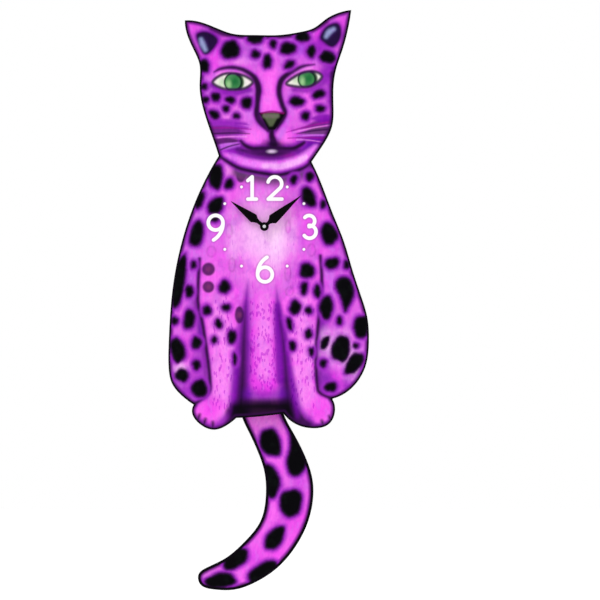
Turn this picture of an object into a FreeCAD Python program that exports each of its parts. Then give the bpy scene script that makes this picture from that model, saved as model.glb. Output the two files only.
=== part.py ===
"""Wall clock shaped as a sitting leopard cat, whose tail swings as the pendulum.

A printed hardboard cat carries a quartz movement on its back. The movement turns two hands through
a train of moulded wheels and swings the tail with a coil and magnet of its own.

Millimetres. +Z is up and the dial faces -Y. The origin is the centre of the hanger's keyhole, in
the middle of the plate. Shapes are drawn about the dial's centre and moved down by HANGER_RISE on
export; their depths along Y are drawn in place.
"""

import FreeCAD
import Part
import math
import os

V = FreeCAD.Vector

# ---- depths, from the wall (plus) to the viewer (minus) -------------------------------------
WALL_Y = 1.0
CASE_DEPTH = 20.0
BOARD_T = 6.0
PRINT_T = 0.3
BOARD_BACK = WALL_Y - CASE_DEPTH
BOARD_FRONT = BOARD_BACK - BOARD_T
PRINT_FRONT = BOARD_FRONT - PRINT_T

# ---- hanger ---------------------------------------------------------------------------------
HANGER_RISE = 34.0
HANGER_T = 1.0
KEYHOLE_R = 4.0
KEYHOLE_SLOT_R = 1.8
KEYHOLE_SLOT_RISE = 6.0
HANGER_HALF_W = 8.5
HANGER_FOOT_Z = 15.5
HANGER_SCREW_X = 5.0
HANGER_SCREW_Z = 20.0
HANGER_SCREW_R, HANGER_SCREW_HEAD_R = 1.0, 1.95
HANGER_SCREW_BITE = 1.8

# ---- movement case --------------------------------------------------------------------------
CASE_HALF_W = 28.5
CASE_TOP = 27.0
CASE_BOTTOM = -84.0
WALL_T = 1.5
CASE_CORNER_R = 4.0
PARTING_Y = -9.0
LIP_T = 1.0
LIP_DEPTH = 1.5
LIP_GAP = 0.1
CASE_FRONT_IN = BOARD_BACK + WALL_T
COVER_IN = WALL_Y - WALL_T
LUG_X = 32.5
LUG_ZS = (15.0, -60.0)
LUG_R = 4.5
LUG_T = 2.5
LATCH_ZS = (10.0, -50.0)
LATCH_HALF = 3.0
LATCH_PROUD = 0.6

# ---- wood screws ----------------------------------------------------------------------------
SCREW_R = 1.4
PILOT_R = 1.35
SCREW_CLEAR_R = 1.6
SCREW_HEAD_R = 2.8
SCREW_HEAD_T = 1.3
SCREW_BITE = 4.6

# ---- battery: one AA cell lying across the case ----------------------------------------------
CELL_R = 7.25
CELL_X0, CELL_X1 = -24.55, 24.95
CELL_NUB = 1.0
SLEEVE_T = 0.1
CAN_T = 0.3
CELL_INNER_R = CELL_R - SLEEVE_T - CAN_T
CELL_Y, CELL_Z = -7.0, -27.5
BAY_R = 8.0
BAY_HALF_L = 26.0
BAY_WALL = 1.0
NUB_R = 2.75
CAP_R, CAP_T = 4.6, 0.4
PLUG_T = 0.8

# ---- dial centre stack ----------------------------------------------------------------------
BOARD_HOLE_R = 3.0
BUSHING_R, BUSHING_BORE_R = 2.8, 2.06
TUBE_R, TUBE_BORE_R = 2.0, 1.32
ARBOR_R = 1.25
ARBOR_TIP_R = 1.1
HOUR_HAND_Y = -28.4
MINUTE_HAND_Y = -30.4
HAND_T = 0.4
HUB_R = 2.9
ARBOR_TIP_Y = -32.0

# ---- wheel train: (x, z) of each arbor and the front face of each layer -----------------------
WHEEL_T = 0.8
LAYER_PITCH = 1.4
LAYER_A = -17.1
LAYERS = {name: LAYER_A + i * LAYER_PITCH for i, name in enumerate("ABCDEF")}
PLATE_Y0, PLATE_T = -8.6, 1.2
PIVOT_R, PIVOT_GAP = 0.4, 0.05
PIVOT_SINK = 0.9
END_SHAKE = 0.2
STEM_R = 0.7
ARBOR_FOOT_R, ARBOR_PIVOT_R = 1.0, 0.6
ARBOR_GAP = 0.06
MINUTE_ARBOR_R, MINUTE_PIVOT_R = 0.8, 0.6
CLUTCH_SEAT_R = 1.5
CLUTCH_BACK = LAYERS["C"] + WHEEL_T + 0.5
PRESSURE_ANGLE = math.radians(20)
BACKLASH = 0.05
PINION_SHIFT = 0.4

M_FINE = 0.2
M_MEDIUM = 0.25
M_CANNON = 0.4
ROTOR_TEETH, FIFTH_TEETH = 10, 60
FIFTH_PINION, FOURTH_TEETH = 10, 50
FOURTH_PINION, THIRD_TEETH = 10, 75
THIRD_PINION, CENTRE_TEETH = 10, 80
CANNON_TEETH, MINUTE_TEETH = 12, 36
MINUTE_PINION, HOUR_TEETH = 10, 40
CANNON_CENTRES = M_CANNON * (CANNON_TEETH + MINUTE_TEETH) / 2
M_HOUR = 2 * CANNON_CENTRES / (MINUTE_PINION + HOUR_TEETH)


def offset(start, distance, degrees):
    """The point at that distance and angle from start, seen from the front."""
    a = math.radians(degrees)
    return (start[0] + distance * math.cos(a), start[1] + distance * math.sin(a))


CENTRE = (0.0, 0.0)
MINUTE = offset(CENTRE, CANNON_CENTRES, 180)
THIRD = offset(CENTRE, M_FINE * (THIRD_PINION + CENTRE_TEETH) / 2, 60)
FOURTH = offset(THIRD, M_FINE * (FOURTH_PINION + THIRD_TEETH) / 2, 0)
FIFTH = offset(FOURTH, M_MEDIUM * (FIFTH_PINION + FOURTH_TEETH) / 2, -90)
ROTOR = offset(FIFTH, M_FINE * (ROTOR_TEETH + FIFTH_TEETH) / 2, -75)

# ---- stepper motor --------------------------------------------------------------------------
STATOR_Y, STATOR_T = -12.9, 1.0
STATOR_HOLE_R, STATOR_RING_R = 3.3, 4.6
ROTOR_R = 2.6
COIL_Z, COIL_R = -14.0, 2.6
COIL_X0, COIL_X1 = 3.0, 18.0
STATOR_PEGS = ((0.5, -11.0), (20.5, -11.0))
POSTS = ((-23.5, 20.0), (23.5, 18.0), (-23.5, -13.0), (23.5, 0.0))
POST_R = 1.8
PLATE_SCREW_R, PLATE_SCREW_HOLE_R, PLATE_SCREW_CLEAR_R = 0.78, 0.8, 0.9
PLATE_SCREW_HEAD_R, PLATE_SCREW_HEAD_T = 1.6, 0.9
PLATE_SCREW_BITE = 4.0
STATOR_PEG_R, STATOR_PIN_R = 1.4, 0.7

# ---- clock circuit --------------------------------------------------------------------------
BOARD_PEG_Y = -6.2
CLOCK_BOARD_T = 0.8
CLOCK_BOARD_PEGS = ((-17.5, -5.5), (-1.0, -13.5))
CHIP_AT = (-14.0, -11.0)
CRYSTAL_AT = (-3.5, -6.5)

# ---- setting knob ---------------------------------------------------------------------------
KNOB_TEETH = 40
KNOB_R, KNOB_ROOT_R = 6.1, 5.7
KNOB_HOLE_R = 6.6
KNOB_DISH_R = 4.6
KNOB_HUB_R = 1.8
KNOB_SOCKET_Y = -1.6

# ---- pendulum drive and tail ------------------------------------------------------------------
PIVOT_Z = -44.0
PIN_R, PIN_GAP = 1.0, 0.06
PIN_BOSS_R, PIN_SINK = 3.2, 0.8
PIN_BACK = -4.4
EYE_R = 4.2
ARM_Y0, ARM_T = -13.2, 2.0
ARM_HALF_W = 4.0
ARM_FOOT_HALF_W = 7.0
ARM_FOOT_TOP, ARM_BOTTOM = -90.0, -112.0
MAGNET_Z, MAGNET_R = -74.0, 3.9
SLOT_HALF_W = 10.0
TAIL_T = 3.0
TAIL_BACK = ARM_Y0
TAIL_FRONT = TAIL_BACK - TAIL_T
TAIL_SCREW_ZS = (-97.0, -107.0)
DRIVE_COIL_R, DRIVE_COIL_BORE = 7.8, 3.2
DRIVE_COIL_Y = (-7.9, -2.9)
DRIVE_BOARD_Y = (-2.9, -1.9)
DRIVE_PEG_X = 12.5
DRIVE_PEG_R, DRIVE_PIN_R = 1.8, 0.9
FLANGE_T, FLANGE_PROUD = 0.6, 0.5

# ---- hands: (half-width, distance from the centre) up one side, and degrees past twelve ---------
MINUTE_HAND_SIDE = ((1.2, 2.0), (1.2, 4.2), (2.0, 5.8), (3.5, 7.4), (3.4, 8.4), (2.6, 15.0),
                    (1.9, 20.0), (1.2, 24.0), (0.15, 32.8))
MINUTE_HAND_AT = 50.0
HOUR_HAND_SIDE = ((1.2, 2.0), (1.2, 5.0), (1.8, 7.0), (3.2, 9.0), (3.1, 10.0), (2.3, 15.0),
                  (1.4, 20.5), (0.15, 28.3))
HOUR_HAND_AT = -53.0

# ---- outlines, about the dial's centre. Each stretch is a smooth curve; they meet at corners ----
HEAD_TOP = ((-54, 140), (-44, 139), (-33, 135), (-22, 131), (-6, 130), (10, 130), (24, 132),
            (34, 135), (42, 141), (50, 145), (59, 147))
HEAD_RIGHT = ((59, 147), (57, 135), (53, 120), (49, 108), (47, 96), (47, 80), (46, 68), (42, 59),
              (32, 44))
FLANK_RIGHT = ((32, 44), (38, 31), (46, 10), (54, -10), (60, -30), (66, -48), (70, -62),
               (71, -78), (69, -94), (61, -108), (46, -117))
PAW_RIGHT = ((46, -117), (48, -125), (44, -134), (33, -137), (21, -134), (13, -127))
UNDERSIDE = ((13, -127), (-3, -129), (-19, -130))
PAW_LEFT = ((-19, -130), (-24, -134), (-34, -138), (-44, -134), (-49, -127), (-48, -121))
FLANK_LEFT = ((-48, -121), (-57, -114), (-63, -106), (-65, -96), (-65, -80), (-62, -40),
              (-53, 0), (-41, 30), (-31, 48))
HEAD_LEFT = ((-31, 48), (-35, 60), (-41, 78), (-44, 96), (-44, 110), (-48, 120), (-54, 140))
CAT_OUTLINE = (HEAD_TOP, HEAD_RIGHT, FLANK_RIGHT, PAW_RIGHT, UNDERSIDE, PAW_LEFT, FLANK_LEFT,
               HEAD_LEFT)
TAIL_CURVE = ((-9, -90), (-12, -93), (-14, -110), (-16, -126), (-11, -139), (-5, -152), (0, -167),
              (1, -182), (-3, -201), (-13, -214), (-27, -226), (-39, -232), (-45, -237),
              (-44, -243), (-34, -247), (-20, -247), (-6, -242), (9, -232), (21, -218),
              (30, -200), (33, -186), (33, -174), (28, -157), (20, -141), (13, -127),
              (12, -110), (12, -93), (9, -90))
TAIL_TOP = ((9, -90), (-9, -90))
TAIL_OUTLINE = (TAIL_CURVE, TAIL_TOP)
SPANS_PER_EDGE = 3


# ---- shape helpers --------------------------------------------------------------------------
def box(x0, x1, y0, y1, z0, z1):
    return Part.makeBox(x1 - x0, y1 - y0, z1 - z0, V(x0, y0, z0))


def rod(at, r, y0, y1):
    """A cylinder along Y at the point (x, z)."""
    return Part.makeCylinder(r, y1 - y0, V(at[0], y0, at[1]), V(0, 1, 0))


def ring(at, r_out, r_in, y0, y1):
    return rod(at, r_out, y0, y1).cut(rod(at, r_in, y0, y1))


def cone(at, r0, r1, y0, y1):
    return Part.makeCone(r0, r1, y1 - y0, V(at[0], y0, at[1]), V(0, 1, 0))


def bar(r, x0, x1, y, z):
    """A cylinder along X."""
    return Part.makeCylinder(r, x1 - x0, V(x0, y, z), V(1, 0, 0))


def rounded_box(x0, x1, y0, y1, z0, z1, r):
    """A box with its four edges along Y rounded."""
    solid = box(x0, x1, y0, y1, z0, z1)
    along_y = [e for e in solid.Edges if abs(e.tangentAt(e.FirstParameter).y) > 0.9]
    return solid.makeFillet(r, along_y)


def slab(points, y0, y1):
    """A flat plate from a closed outline of (x, z) points."""
    wire = Part.makePolygon([V(x, y0, z) for x, z in [*points, points[0]]])
    return Part.Face(wire).extrude(V(0, y1 - y0, 0))


def curve_edges(points):
    """A smooth curve through the points, in short edges so that the volume inside measures true."""
    curve = Part.BSplineCurve()
    curve.interpolate(points)
    knots = curve.getKnots()
    ends = sorted({*knots[::SPANS_PER_EDGE], knots[-1]})
    return [curve.toShape(start, end) for start, end in zip(ends, ends[1:])]


def curved_slab(stretches, y0, y1):
    """A flat plate whose outline is smooth curves joined at corners."""
    edges = []
    for stretch in stretches:
        points = [V(x, y0, z) for x, z in stretch]
        if len(points) == 2:
            edges.append(Part.LineSegment(*points).toShape())
        else:
            edges.extend(curve_edges(points))
    return Part.Face(Part.Wire(edges)).extrude(V(0, y1 - y0, 0))


def fuse(first, *others):
    return first.multiFuse(list(others)).removeSplitter()


def cut(shape, *tools):
    for tool in tools:
        shape = shape.cut(tool)
    return shape


def turned(shape, at, degrees):
    """The shape turned clockwise, seen from the front, about the arbor at the point (x, z)."""
    shape.rotate(V(at[0], 0, at[1]), V(0, 1, 0), degrees)
    return shape


# ---- wheels ---------------------------------------------------------------------------------
def involute(angle):
    return math.tan(angle) - angle


def gear_points(at, teeth, module, shift, phase):
    """Outline of an involute wheel. A tooth points along phase, in radians from +X."""
    pitch = module * teeth / 2
    base = pitch * math.cos(PRESSURE_ANGLE)
    root = pitch - (1.25 - shift) * module
    tip = pitch + (1 + shift) * module * 0.95
    thickness = module * (math.pi / 2 + 2 * shift * math.tan(PRESSURE_ANGLE)) - BACKLASH
    half = thickness / (2 * pitch) + involute(PRESSURE_ANGLE)
    start = max(base, root)
    flank = []
    for r in (start, (start + tip) / 2, tip):
        flank.append((r, half - involute(math.acos(min(1.0, base / r)))))
    if root < start:
        flank.insert(0, (root, flank[0][1]))
    points = []
    for i in range(teeth):
        middle = phase + 2 * math.pi * i / teeth
        for r, a in flank:
            points.append((r, middle - a))
        for r, a in reversed(flank):
            points.append((r, middle + a))
    return [(at[0] + r * math.cos(a), at[1] + r * math.sin(a)) for r, a in points]


def mesh_phases(pinion_at, wheel_at, wheel_teeth):
    """Phases of a pinion and the wheel it drives, with a tooth of one in a gap of the other."""
    line = math.atan2(wheel_at[1] - pinion_at[1], wheel_at[0] - pinion_at[0])
    return line, line + math.pi + math.pi / wheel_teeth


def pinion_and_wheel(pinion_at, pinion_teeth, wheel_at, wheel_teeth, module, layer):
    """The two toothed discs of one mesh; the pinion is a little longer than the wheel is thick."""
    phases = mesh_phases(pinion_at, wheel_at, wheel_teeth)
    y0 = LAYERS[layer]
    pinion = slab(gear_points(pinion_at, pinion_teeth, module, PINION_SHIFT, phases[0]),
                  y0 - 0.15, y0 + WHEEL_T + 0.15)
    wheel = slab(gear_points(wheel_at, wheel_teeth, module, -PINION_SHIFT, phases[1]),
                 y0, y0 + WHEEL_T)
    return pinion, wheel


def stem(at):
    """A wheel's arbor with a thin pivot at each end, one in the case and one in the plate."""
    front, back = CASE_FRONT_IN + END_SHAKE, PLATE_Y0 - END_SHAKE
    return [rod(at, STEM_R, front, back),
            rod(at, PIVOT_R, CASE_FRONT_IN - PIVOT_SINK, front),
            rod(at, PIVOT_R, back, PLATE_Y0 + PLATE_T - END_SHAKE)]


def wheel_train():
    """Every toothed piece of the movement, by node name."""
    rotor_pinion, fifth = pinion_and_wheel(
        ROTOR, ROTOR_TEETH, FIFTH, FIFTH_TEETH, M_FINE, "F")
    fifth_pinion, fourth = pinion_and_wheel(
        FIFTH, FIFTH_PINION, FOURTH, FOURTH_TEETH, M_MEDIUM, "E")
    fourth_pinion, third = pinion_and_wheel(
        FOURTH, FOURTH_PINION, THIRD, THIRD_TEETH, M_FINE, "D")
    third_pinion, centre = pinion_and_wheel(
        THIRD, THIRD_PINION, CENTRE, CENTRE_TEETH, M_FINE, "C")
    cannon, minute = pinion_and_wheel(
        CENTRE, CANNON_TEETH, MINUTE, MINUTE_TEETH, M_CANNON, "B")
    minute_pinion, hour = pinion_and_wheel(
        MINUTE, MINUTE_PINION, CENTRE, HOUR_TEETH, M_HOUR, "A")

    wheels = {
        "rotor_pinion": fuse(rotor_pinion, *stem(ROTOR)),
        "fifth_wheel": fuse(fifth, fifth_pinion, *stem(FIFTH)),
        "fourth_wheel": fuse(fourth, fourth_pinion, *stem(FOURTH)),
        "third_wheel": fuse(third, third_pinion, *stem(THIRD)),
        "centre_wheel": centre.cut(rod(CENTRE, CLUTCH_SEAT_R + ARBOR_GAP, -20, 0)),
    }

    shoulder = CASE_FRONT_IN + END_SHAKE
    wheels["minute_wheel"] = fuse(
        minute, minute_pinion,
        rod(MINUTE, MINUTE_ARBOR_R, shoulder, KNOB_SOCKET_Y),
        rod(MINUTE, MINUTE_PIVOT_R, CASE_FRONT_IN - PIVOT_SINK, shoulder))

    tube = rod(CENTRE, TUBE_R, HOUR_HAND_Y, LAYERS["A"] + WHEEL_T + 0.1)
    wheels["hour_wheel"] = fuse(hour, tube).cut(rod(CENTRE, TUBE_BORE_R, -40, 0))

    wheels["minute_arbor"] = fuse(
        cannon,
        rod(CENTRE, ARBOR_R, MINUTE_HAND_Y + HAND_T, LAYERS["B"]),
        rod(CENTRE, ARBOR_TIP_R, ARBOR_TIP_Y, MINUTE_HAND_Y + HAND_T),
        rod(CENTRE, CLUTCH_SEAT_R, LAYERS["B"], CLUTCH_BACK),
        rod(CENTRE, ARBOR_FOOT_R, CLUTCH_BACK, PLATE_Y0 - END_SHAKE),
        rod(CENTRE, ARBOR_PIVOT_R, PLATE_Y0 - END_SHAKE, PLATE_Y0 + PLATE_T - END_SHAKE))
    return wheels


def clutch_spring():
    """Dished washer on the minute arbor that makes the centre wheel grip it."""
    y0 = LAYERS["C"] + WHEEL_T + 0.05
    dish = cone(CENTRE, 3.0, 2.0, y0, y0 + 0.4)
    hollow = cone(CENTRE, 2.7, 1.7, y0, y0 + 0.25)
    return cut(dish, hollow, rod(CENTRE, CLUTCH_SEAT_R, y0 - 1, y0 + 1))


def rotor_magnet():
    return ring(ROTOR, ROTOR_R, STEM_R, STATOR_Y - 0.6, STATOR_Y + STATOR_T + 0.6)


# ---- the board and its hardware -------------------------------------------------------------
def screw_points():
    return [(side * LUG_X, z) for z in LUG_ZS for side in (-1, 1)]


def body_board():
    board = curved_slab(CAT_OUTLINE, BOARD_FRONT, BOARD_BACK)
    pilots = [rod(p, PILOT_R, BOARD_BACK - SCREW_BITE - 0.1, BOARD_BACK) for p in screw_points()]
    return cut(board, rod(CENTRE, BOARD_HOLE_R, BOARD_FRONT - 1, BOARD_BACK + 1), *pilots)


def body_print():
    sheet = curved_slab(CAT_OUTLINE, PRINT_FRONT, BOARD_FRONT)
    return sheet.cut(rod(CENTRE, BOARD_HOLE_R, PRINT_FRONT - 1, BOARD_FRONT + 1))


def pan_screw(at, head_y, length):
    """Pan-head wood screw driven towards -Y, with a cross recess in its head."""
    head = rod(at, SCREW_HEAD_R, head_y, head_y + SCREW_HEAD_T)
    head = head.makeFillet(0.5, [e for e in head.Edges if e.BoundBox.YMin > head_y + 0.5
                                 and e.BoundBox.YLength < 0.01])
    x, z = at
    top = head_y + SCREW_HEAD_T
    arms = [box(x - 1.5, x + 1.5, top - 0.7, top + 1, z - 0.3, z + 0.3),
            box(x - 0.3, x + 0.3, top - 0.7, top + 1, z - 1.5, z + 1.5)]
    shank = rod(at, SCREW_R, head_y - length + 0.8, head_y)
    point = cone(at, 0.3, SCREW_R, head_y - length, head_y - length + 0.8)
    return cut(fuse(head, shank, point), *arms)


def movement_screws():
    head_y = BOARD_BACK + LUG_T
    return Part.makeCompound([pan_screw(p, head_y, LUG_T + SCREW_BITE) for p in screw_points()])


def hanger_plate():
    half = HANGER_T / 2
    top = HANGER_RISE + 10.5
    plate = rounded_box(-HANGER_HALF_W, HANGER_HALF_W, -half, half, HANGER_FOOT_Z, top, 2.5)
    hole_at = (0, HANGER_RISE)
    slot_at = (0, HANGER_RISE + KEYHOLE_SLOT_RISE)
    slot = box(-KEYHOLE_SLOT_R, KEYHOLE_SLOT_R, -1, 1, hole_at[1], slot_at[1])
    sinks = [cone(p, HANGER_SCREW_R + 0.02, HANGER_SCREW_HEAD_R + 0.05, -half, half)
             for p in hanger_screw_points()]
    return cut(plate, rod(hole_at, KEYHOLE_R, -1, 1), slot, rod(slot_at, KEYHOLE_SLOT_R, -1, 1),
               *sinks)


def hanger_screw_points():
    return [(side * HANGER_SCREW_X, HANGER_SCREW_Z) for side in (-1, 1)]


def hanger_screws():
    half = HANGER_T / 2
    screws = []
    for at in hanger_screw_points():
        x, z = at
        body = fuse(cone(at, HANGER_SCREW_R, HANGER_SCREW_HEAD_R, -half, half),
                    rod(at, HANGER_SCREW_R, -half - HANGER_SCREW_BITE, -half))
        screws.append(body.cut(box(x - 1.4, x + 1.4, half - 0.4, half + 1, z - 0.25, z + 0.25)))
    return Part.makeCompound(screws)


# ---- movement case --------------------------------------------------------------------------
def case_block(inset, y0, y1):
    """The case's rounded rectangle, smaller all round by inset."""
    return rounded_box(-CASE_HALF_W + inset, CASE_HALF_W - inset, y0, y1, CASE_BOTTOM + inset,
                       CASE_TOP - inset, CASE_CORNER_R - min(inset, 2.5))


def lug(at):
    x, z = at
    side = 1 if x > 0 else -1
    x0, x1 = sorted((side * (CASE_HALF_W - 1), x))
    y0, y1 = BOARD_BACK, BOARD_BACK + LUG_T
    return fuse(box(x0, x1, y0, y1, z - LUG_R, z + LUG_R), rod(at, LUG_R, y0, y1))


def latch(side, z, grow):
    """A hook on the cover's lip, or with grow the pocket in the case that it snaps into."""
    wall = CASE_HALF_W - WALL_T
    x0, x1 = sorted((side * (wall - 0.5), side * (wall + LATCH_PROUD + grow)))
    half = LATCH_HALF + grow
    return box(x0, x1, PARTING_Y - 1.3 - grow, PARTING_Y - 0.5 + grow, z - half, z + half)


def latch_points():
    return [(side, z) for side in (-1, 1) for z in LATCH_ZS]


def arm_slot():
    """The mouth in the bottom wall, and in the cover's rim, that the tail's lever swings in."""
    return box(-SLOT_HALF_W, SLOT_HALF_W, -14.8, PARTING_Y, CASE_BOTTOM - 1,
               CASE_BOTTOM + WALL_T + LIP_GAP + LIP_T + 0.5)


def movement_front_case():
    shell = cut(case_block(0, BOARD_BACK, PARTING_Y), case_block(WALL_T, CASE_FRONT_IN, 0))
    pin_boss = rod((0, PIVOT_Z), PIN_BOSS_R, BOARD_BACK + 1, ARM_Y0 - 0.6)
    posts = [rod(p, POST_R, BOARD_BACK + 1, PLATE_Y0) for p in POSTS]
    pegs = [fuse(rod(p, STATOR_PEG_R, BOARD_BACK + 1, STATOR_Y),
                 rod(p, STATOR_PIN_R, STATOR_Y - 1, STATOR_Y + STATOR_T + 0.5))
            for p in STATOR_PEGS]
    shell = fuse(shell, pin_boss, *posts, *pegs, *[lug(p) for p in screw_points()])
    pivot_hole = PIVOT_R + PIVOT_GAP
    holes = [rod(p, pivot_hole, CASE_FRONT_IN - 1, 0) for p in (THIRD, FOURTH, FIFTH, ROTOR)]
    holes.append(rod(MINUTE, MINUTE_PIVOT_R + PIVOT_GAP, CASE_FRONT_IN - 1, 0))
    holes += [rod(p, SCREW_CLEAR_R, BOARD_BACK - 1, 0) for p in screw_points()]
    holes += [rod(p, PLATE_SCREW_HOLE_R, PLATE_Y0 - PLATE_SCREW_BITE - 1, 0) for p in POSTS]
    holes.append(rod((0, PIVOT_Z), PIN_R, BOARD_BACK + PIN_SINK, 0))
    holes.append(rod(CENTRE, BUSHING_R, BOARD_BACK - 1, 0))
    pockets = [latch(side, z, 0.1) for side, z in latch_points()]
    return cut(shell, arm_slot(), *holes, *pockets)


def trough(r, half_l, floor_to):
    """A U-shaped channel across the case for the battery, open to the rear."""
    return fuse(bar(r, -half_l, half_l, CELL_Y, CELL_Z),
                box(-half_l, half_l, CELL_Y, floor_to, CELL_Z - r, CELL_Z + r))


def polarity_marks():
    """A plus and a minus sunk in the rear face under the ends of the battery."""
    z, x, deep = CELL_Z - BAY_R - 5.0, 22.0, WALL_Y - 0.4
    plus = [box(-x - 2, -x + 2, deep, 2, z - 0.4, z + 0.4),
            box(-x - 0.4, -x + 0.4, deep, 2, z - 2, z + 2)]
    return [*plus, box(x - 2, x + 2, deep, 2, z - 0.4, z + 0.4)]


def setting_arrow():
    """Sunk arc and arrowhead beside the setting knob, for its turning direction."""
    deep = WALL_Y - 0.4
    arc = ring(MINUTE, 9.0, 8.3, deep, 2)
    keep = box(MINUTE[0] - 9.5, MINUTE[0] - 3.0, deep, 2, 3.5, 9.5)
    x, z = offset(MINUTE, 8.65, 109)
    head = slab([(x - 0.3, z + 1.5), (x - 0.3, z - 1.5), (x + 2.2, z + 0.1)], deep, 2)
    return [arc.common(keep), head]


def cover_lip():
    """The rim that locates the cover inside the case, with the ledge that joins it on."""
    inner = case_block(WALL_T + LIP_GAP + LIP_T, PARTING_Y - 5, PARTING_Y + 5)
    rim = case_block(WALL_T + LIP_GAP, PARTING_Y - LIP_DEPTH, PARTING_Y)
    ledge = case_block(WALL_T - 0.1, PARTING_Y, PARTING_Y + 0.8)
    hooks = [latch(side, z, 0) for side, z in latch_points()]
    return fuse(fuse(rim, ledge).cut(inner), *hooks)


def movement_rear_cover():
    outer = case_block(0, PARTING_Y, WALL_Y)
    rear_edges = [e for e in outer.Edges if e.BoundBox.YMin > WALL_Y - 0.01]
    outer = outer.makeFillet(1.0, rear_edges)
    shell = outer.cut(case_block(WALL_T, PARTING_Y - 1, COVER_IN))
    hanger_pad = box(-10, 10, COVER_IN - 2.0, COVER_IN + 0.5, 14, CASE_TOP - WALL_T + 0.5)
    bay = trough(BAY_R + BAY_WALL, BAY_HALF_L + 0.9, COVER_IN + 0.5)
    pin_boss = rod((0, PIVOT_Z), PIN_BOSS_R, ARM_Y0 + ARM_T + 1.6, COVER_IN + 0.5)
    coil_pegs = []
    for side in (-1, 1):
        at = (side * DRIVE_PEG_X, MAGNET_Z)
        coil_pegs.append(rod(at, DRIVE_PEG_R, DRIVE_BOARD_Y[1], COVER_IN + 0.5))
        coil_pegs.append(rod(at, DRIVE_PIN_R, DRIVE_BOARD_Y[0] - 0.4, COVER_IN))
    shell = fuse(shell, cover_lip(), hanger_pad, bay, pin_boss, *coil_pegs)
    hanger_seat = box(-HANGER_HALF_W - 0.2, HANGER_HALF_W + 0.2, -HANGER_T / 2, 2,
                      HANGER_FOOT_Z - 0.2, CASE_TOP + 1)
    return cut(shell, trough(BAY_R, BAY_HALF_L, 2), rod(MINUTE, KNOB_HOLE_R, COVER_IN - 1, 2),
               hanger_seat, arm_slot(), rod((0, PIVOT_Z), PIN_R, -12, PIN_BACK),
               *[rod(p, HANGER_SCREW_R, -2.4, 0) for p in hanger_screw_points()],
               *polarity_marks(), *setting_arrow())


def centre_bushing():
    return ring(CENTRE, BUSHING_R, BUSHING_BORE_R, PRINT_FRONT + 0.1, CASE_FRONT_IN)


def train_plate():
    plate = rounded_box(-25.5, 25.5, PLATE_Y0, PLATE_Y0 + PLATE_T, -16.8, 24.0, 2.0)
    pegs = [fuse(rod(p, 1.2, PLATE_Y0 + 0.5, BOARD_PEG_Y), rod(p, 0.6, BOARD_PEG_Y - 1, -4.9))
            for p in CLOCK_BOARD_PEGS]
    plate = fuse(plate, *pegs)
    r = PIVOT_R + PIVOT_GAP
    holes = [rod(p, r, PLATE_Y0 - 1, -7) for p in (THIRD, FOURTH, FIFTH, ROTOR)]
    holes += [rod(p, PLATE_SCREW_CLEAR_R, PLATE_Y0 - 1, -7) for p in POSTS]
    holes.append(rod(CENTRE, ARBOR_PIVOT_R + PIVOT_GAP, PLATE_Y0 - 1, -7))
    holes.append(rod(MINUTE, MINUTE_ARBOR_R + ARBOR_GAP, PLATE_Y0 - 1, -7))
    return cut(plate, *holes)


def train_plate_screws():
    y = PLATE_Y0 + PLATE_T
    screws = []
    for at in POSTS:
        x, z = at
        screw = fuse(rod(at, PLATE_SCREW_HEAD_R, y, y + PLATE_SCREW_HEAD_T),
                     rod(at, PLATE_SCREW_R, PLATE_Y0 - PLATE_SCREW_BITE, y))
        screws.append(screw.cut(box(x - 1.2, x + 1.2, y + 0.4, y + 2, z - 0.2, z + 0.2)))
    return Part.makeCompound(screws)


# ---- stepper motor and clock circuit --------------------------------------------------------
def stator():
    y0, y1 = STATOR_Y, STATOR_Y + STATOR_T
    rx, rz = ROTOR
    plate = fuse(rod(ROTOR, STATOR_RING_R, y0, y1),
                 box(-1.5, rx - 3, y0, y1, rz - 1.6, rz + 1.6),
                 box(-1.5, 2.5, y0, y1, -15.4, rz + 1.6),
                 box(18.3, 22.5, y0, y1, -15.4, rz + 1.6),
                 box(rx + 3, 22.5, y0, y1, rz - 1.6, rz + 1.6))
    return cut(plate, rod(ROTOR, STATOR_HOLE_R, y0 - 1, y1 + 1),
               *[rod(p, STATOR_PIN_R + ARBOR_GAP, y0 - 1, y1 + 1) for p in STATOR_PEGS])


def coil_core():
    return box(-1.5, 22.5, STATOR_Y - 1.2, STATOR_Y, COIL_Z - 1.2, COIL_Z + 1.2)


def stepper_bobbin():
    y = STATOR_Y - 0.6
    body = bar(2.0, COIL_X0, COIL_X1, y, COIL_Z)
    flanges = [bar(COIL_R + 0.4, x, x + 0.6, y, COIL_Z) for x in (COIL_X0, COIL_X1 - 0.6)]
    window = box(COIL_X0 - 1, COIL_X1 + 1, y - 0.65, y + 0.65, COIL_Z - 1.25, COIL_Z + 1.25)
    return fuse(body, *flanges).cut(window)


def stepper_winding():
    y = STATOR_Y - 0.6
    x0, x1 = COIL_X0 + 0.6, COIL_X1 - 0.6
    return bar(COIL_R, x0, x1, y, COIL_Z).cut(bar(2.0, x0, x1, y, COIL_Z))


def clock_circuit_board():
    board = box(-25.0, 3.0, BOARD_PEG_Y, BOARD_PEG_Y + CLOCK_BOARD_T, -16.6, -3.2)
    return cut(board, *[rod(p, 0.65, -8, -4) for p in CLOCK_BOARD_PEGS])


def clock_chip():
    """Epoxy drop over the bonded chip."""
    y = BOARD_PEG_Y + CLOCK_BOARD_T
    ball = Part.makeSphere(5.0, V(CHIP_AT[0], y - 3.6, CHIP_AT[1]))
    return ball.common(rod(CHIP_AT, 6.0, y, y + 3))


def quartz_crystal():
    y = BOARD_PEG_Y + CLOCK_BOARD_T
    x, z = CRYSTAL_AT
    can = bar(1.0, x - 3, x + 3, y + 1.05, z)
    wires = [box(x - 4.2, x - 3, y, y + 1.2, z + s * 0.4 - 0.15, z + s * 0.4 + 0.15)
             for s in (-1, 1)]
    return fuse(can, *wires)


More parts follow.
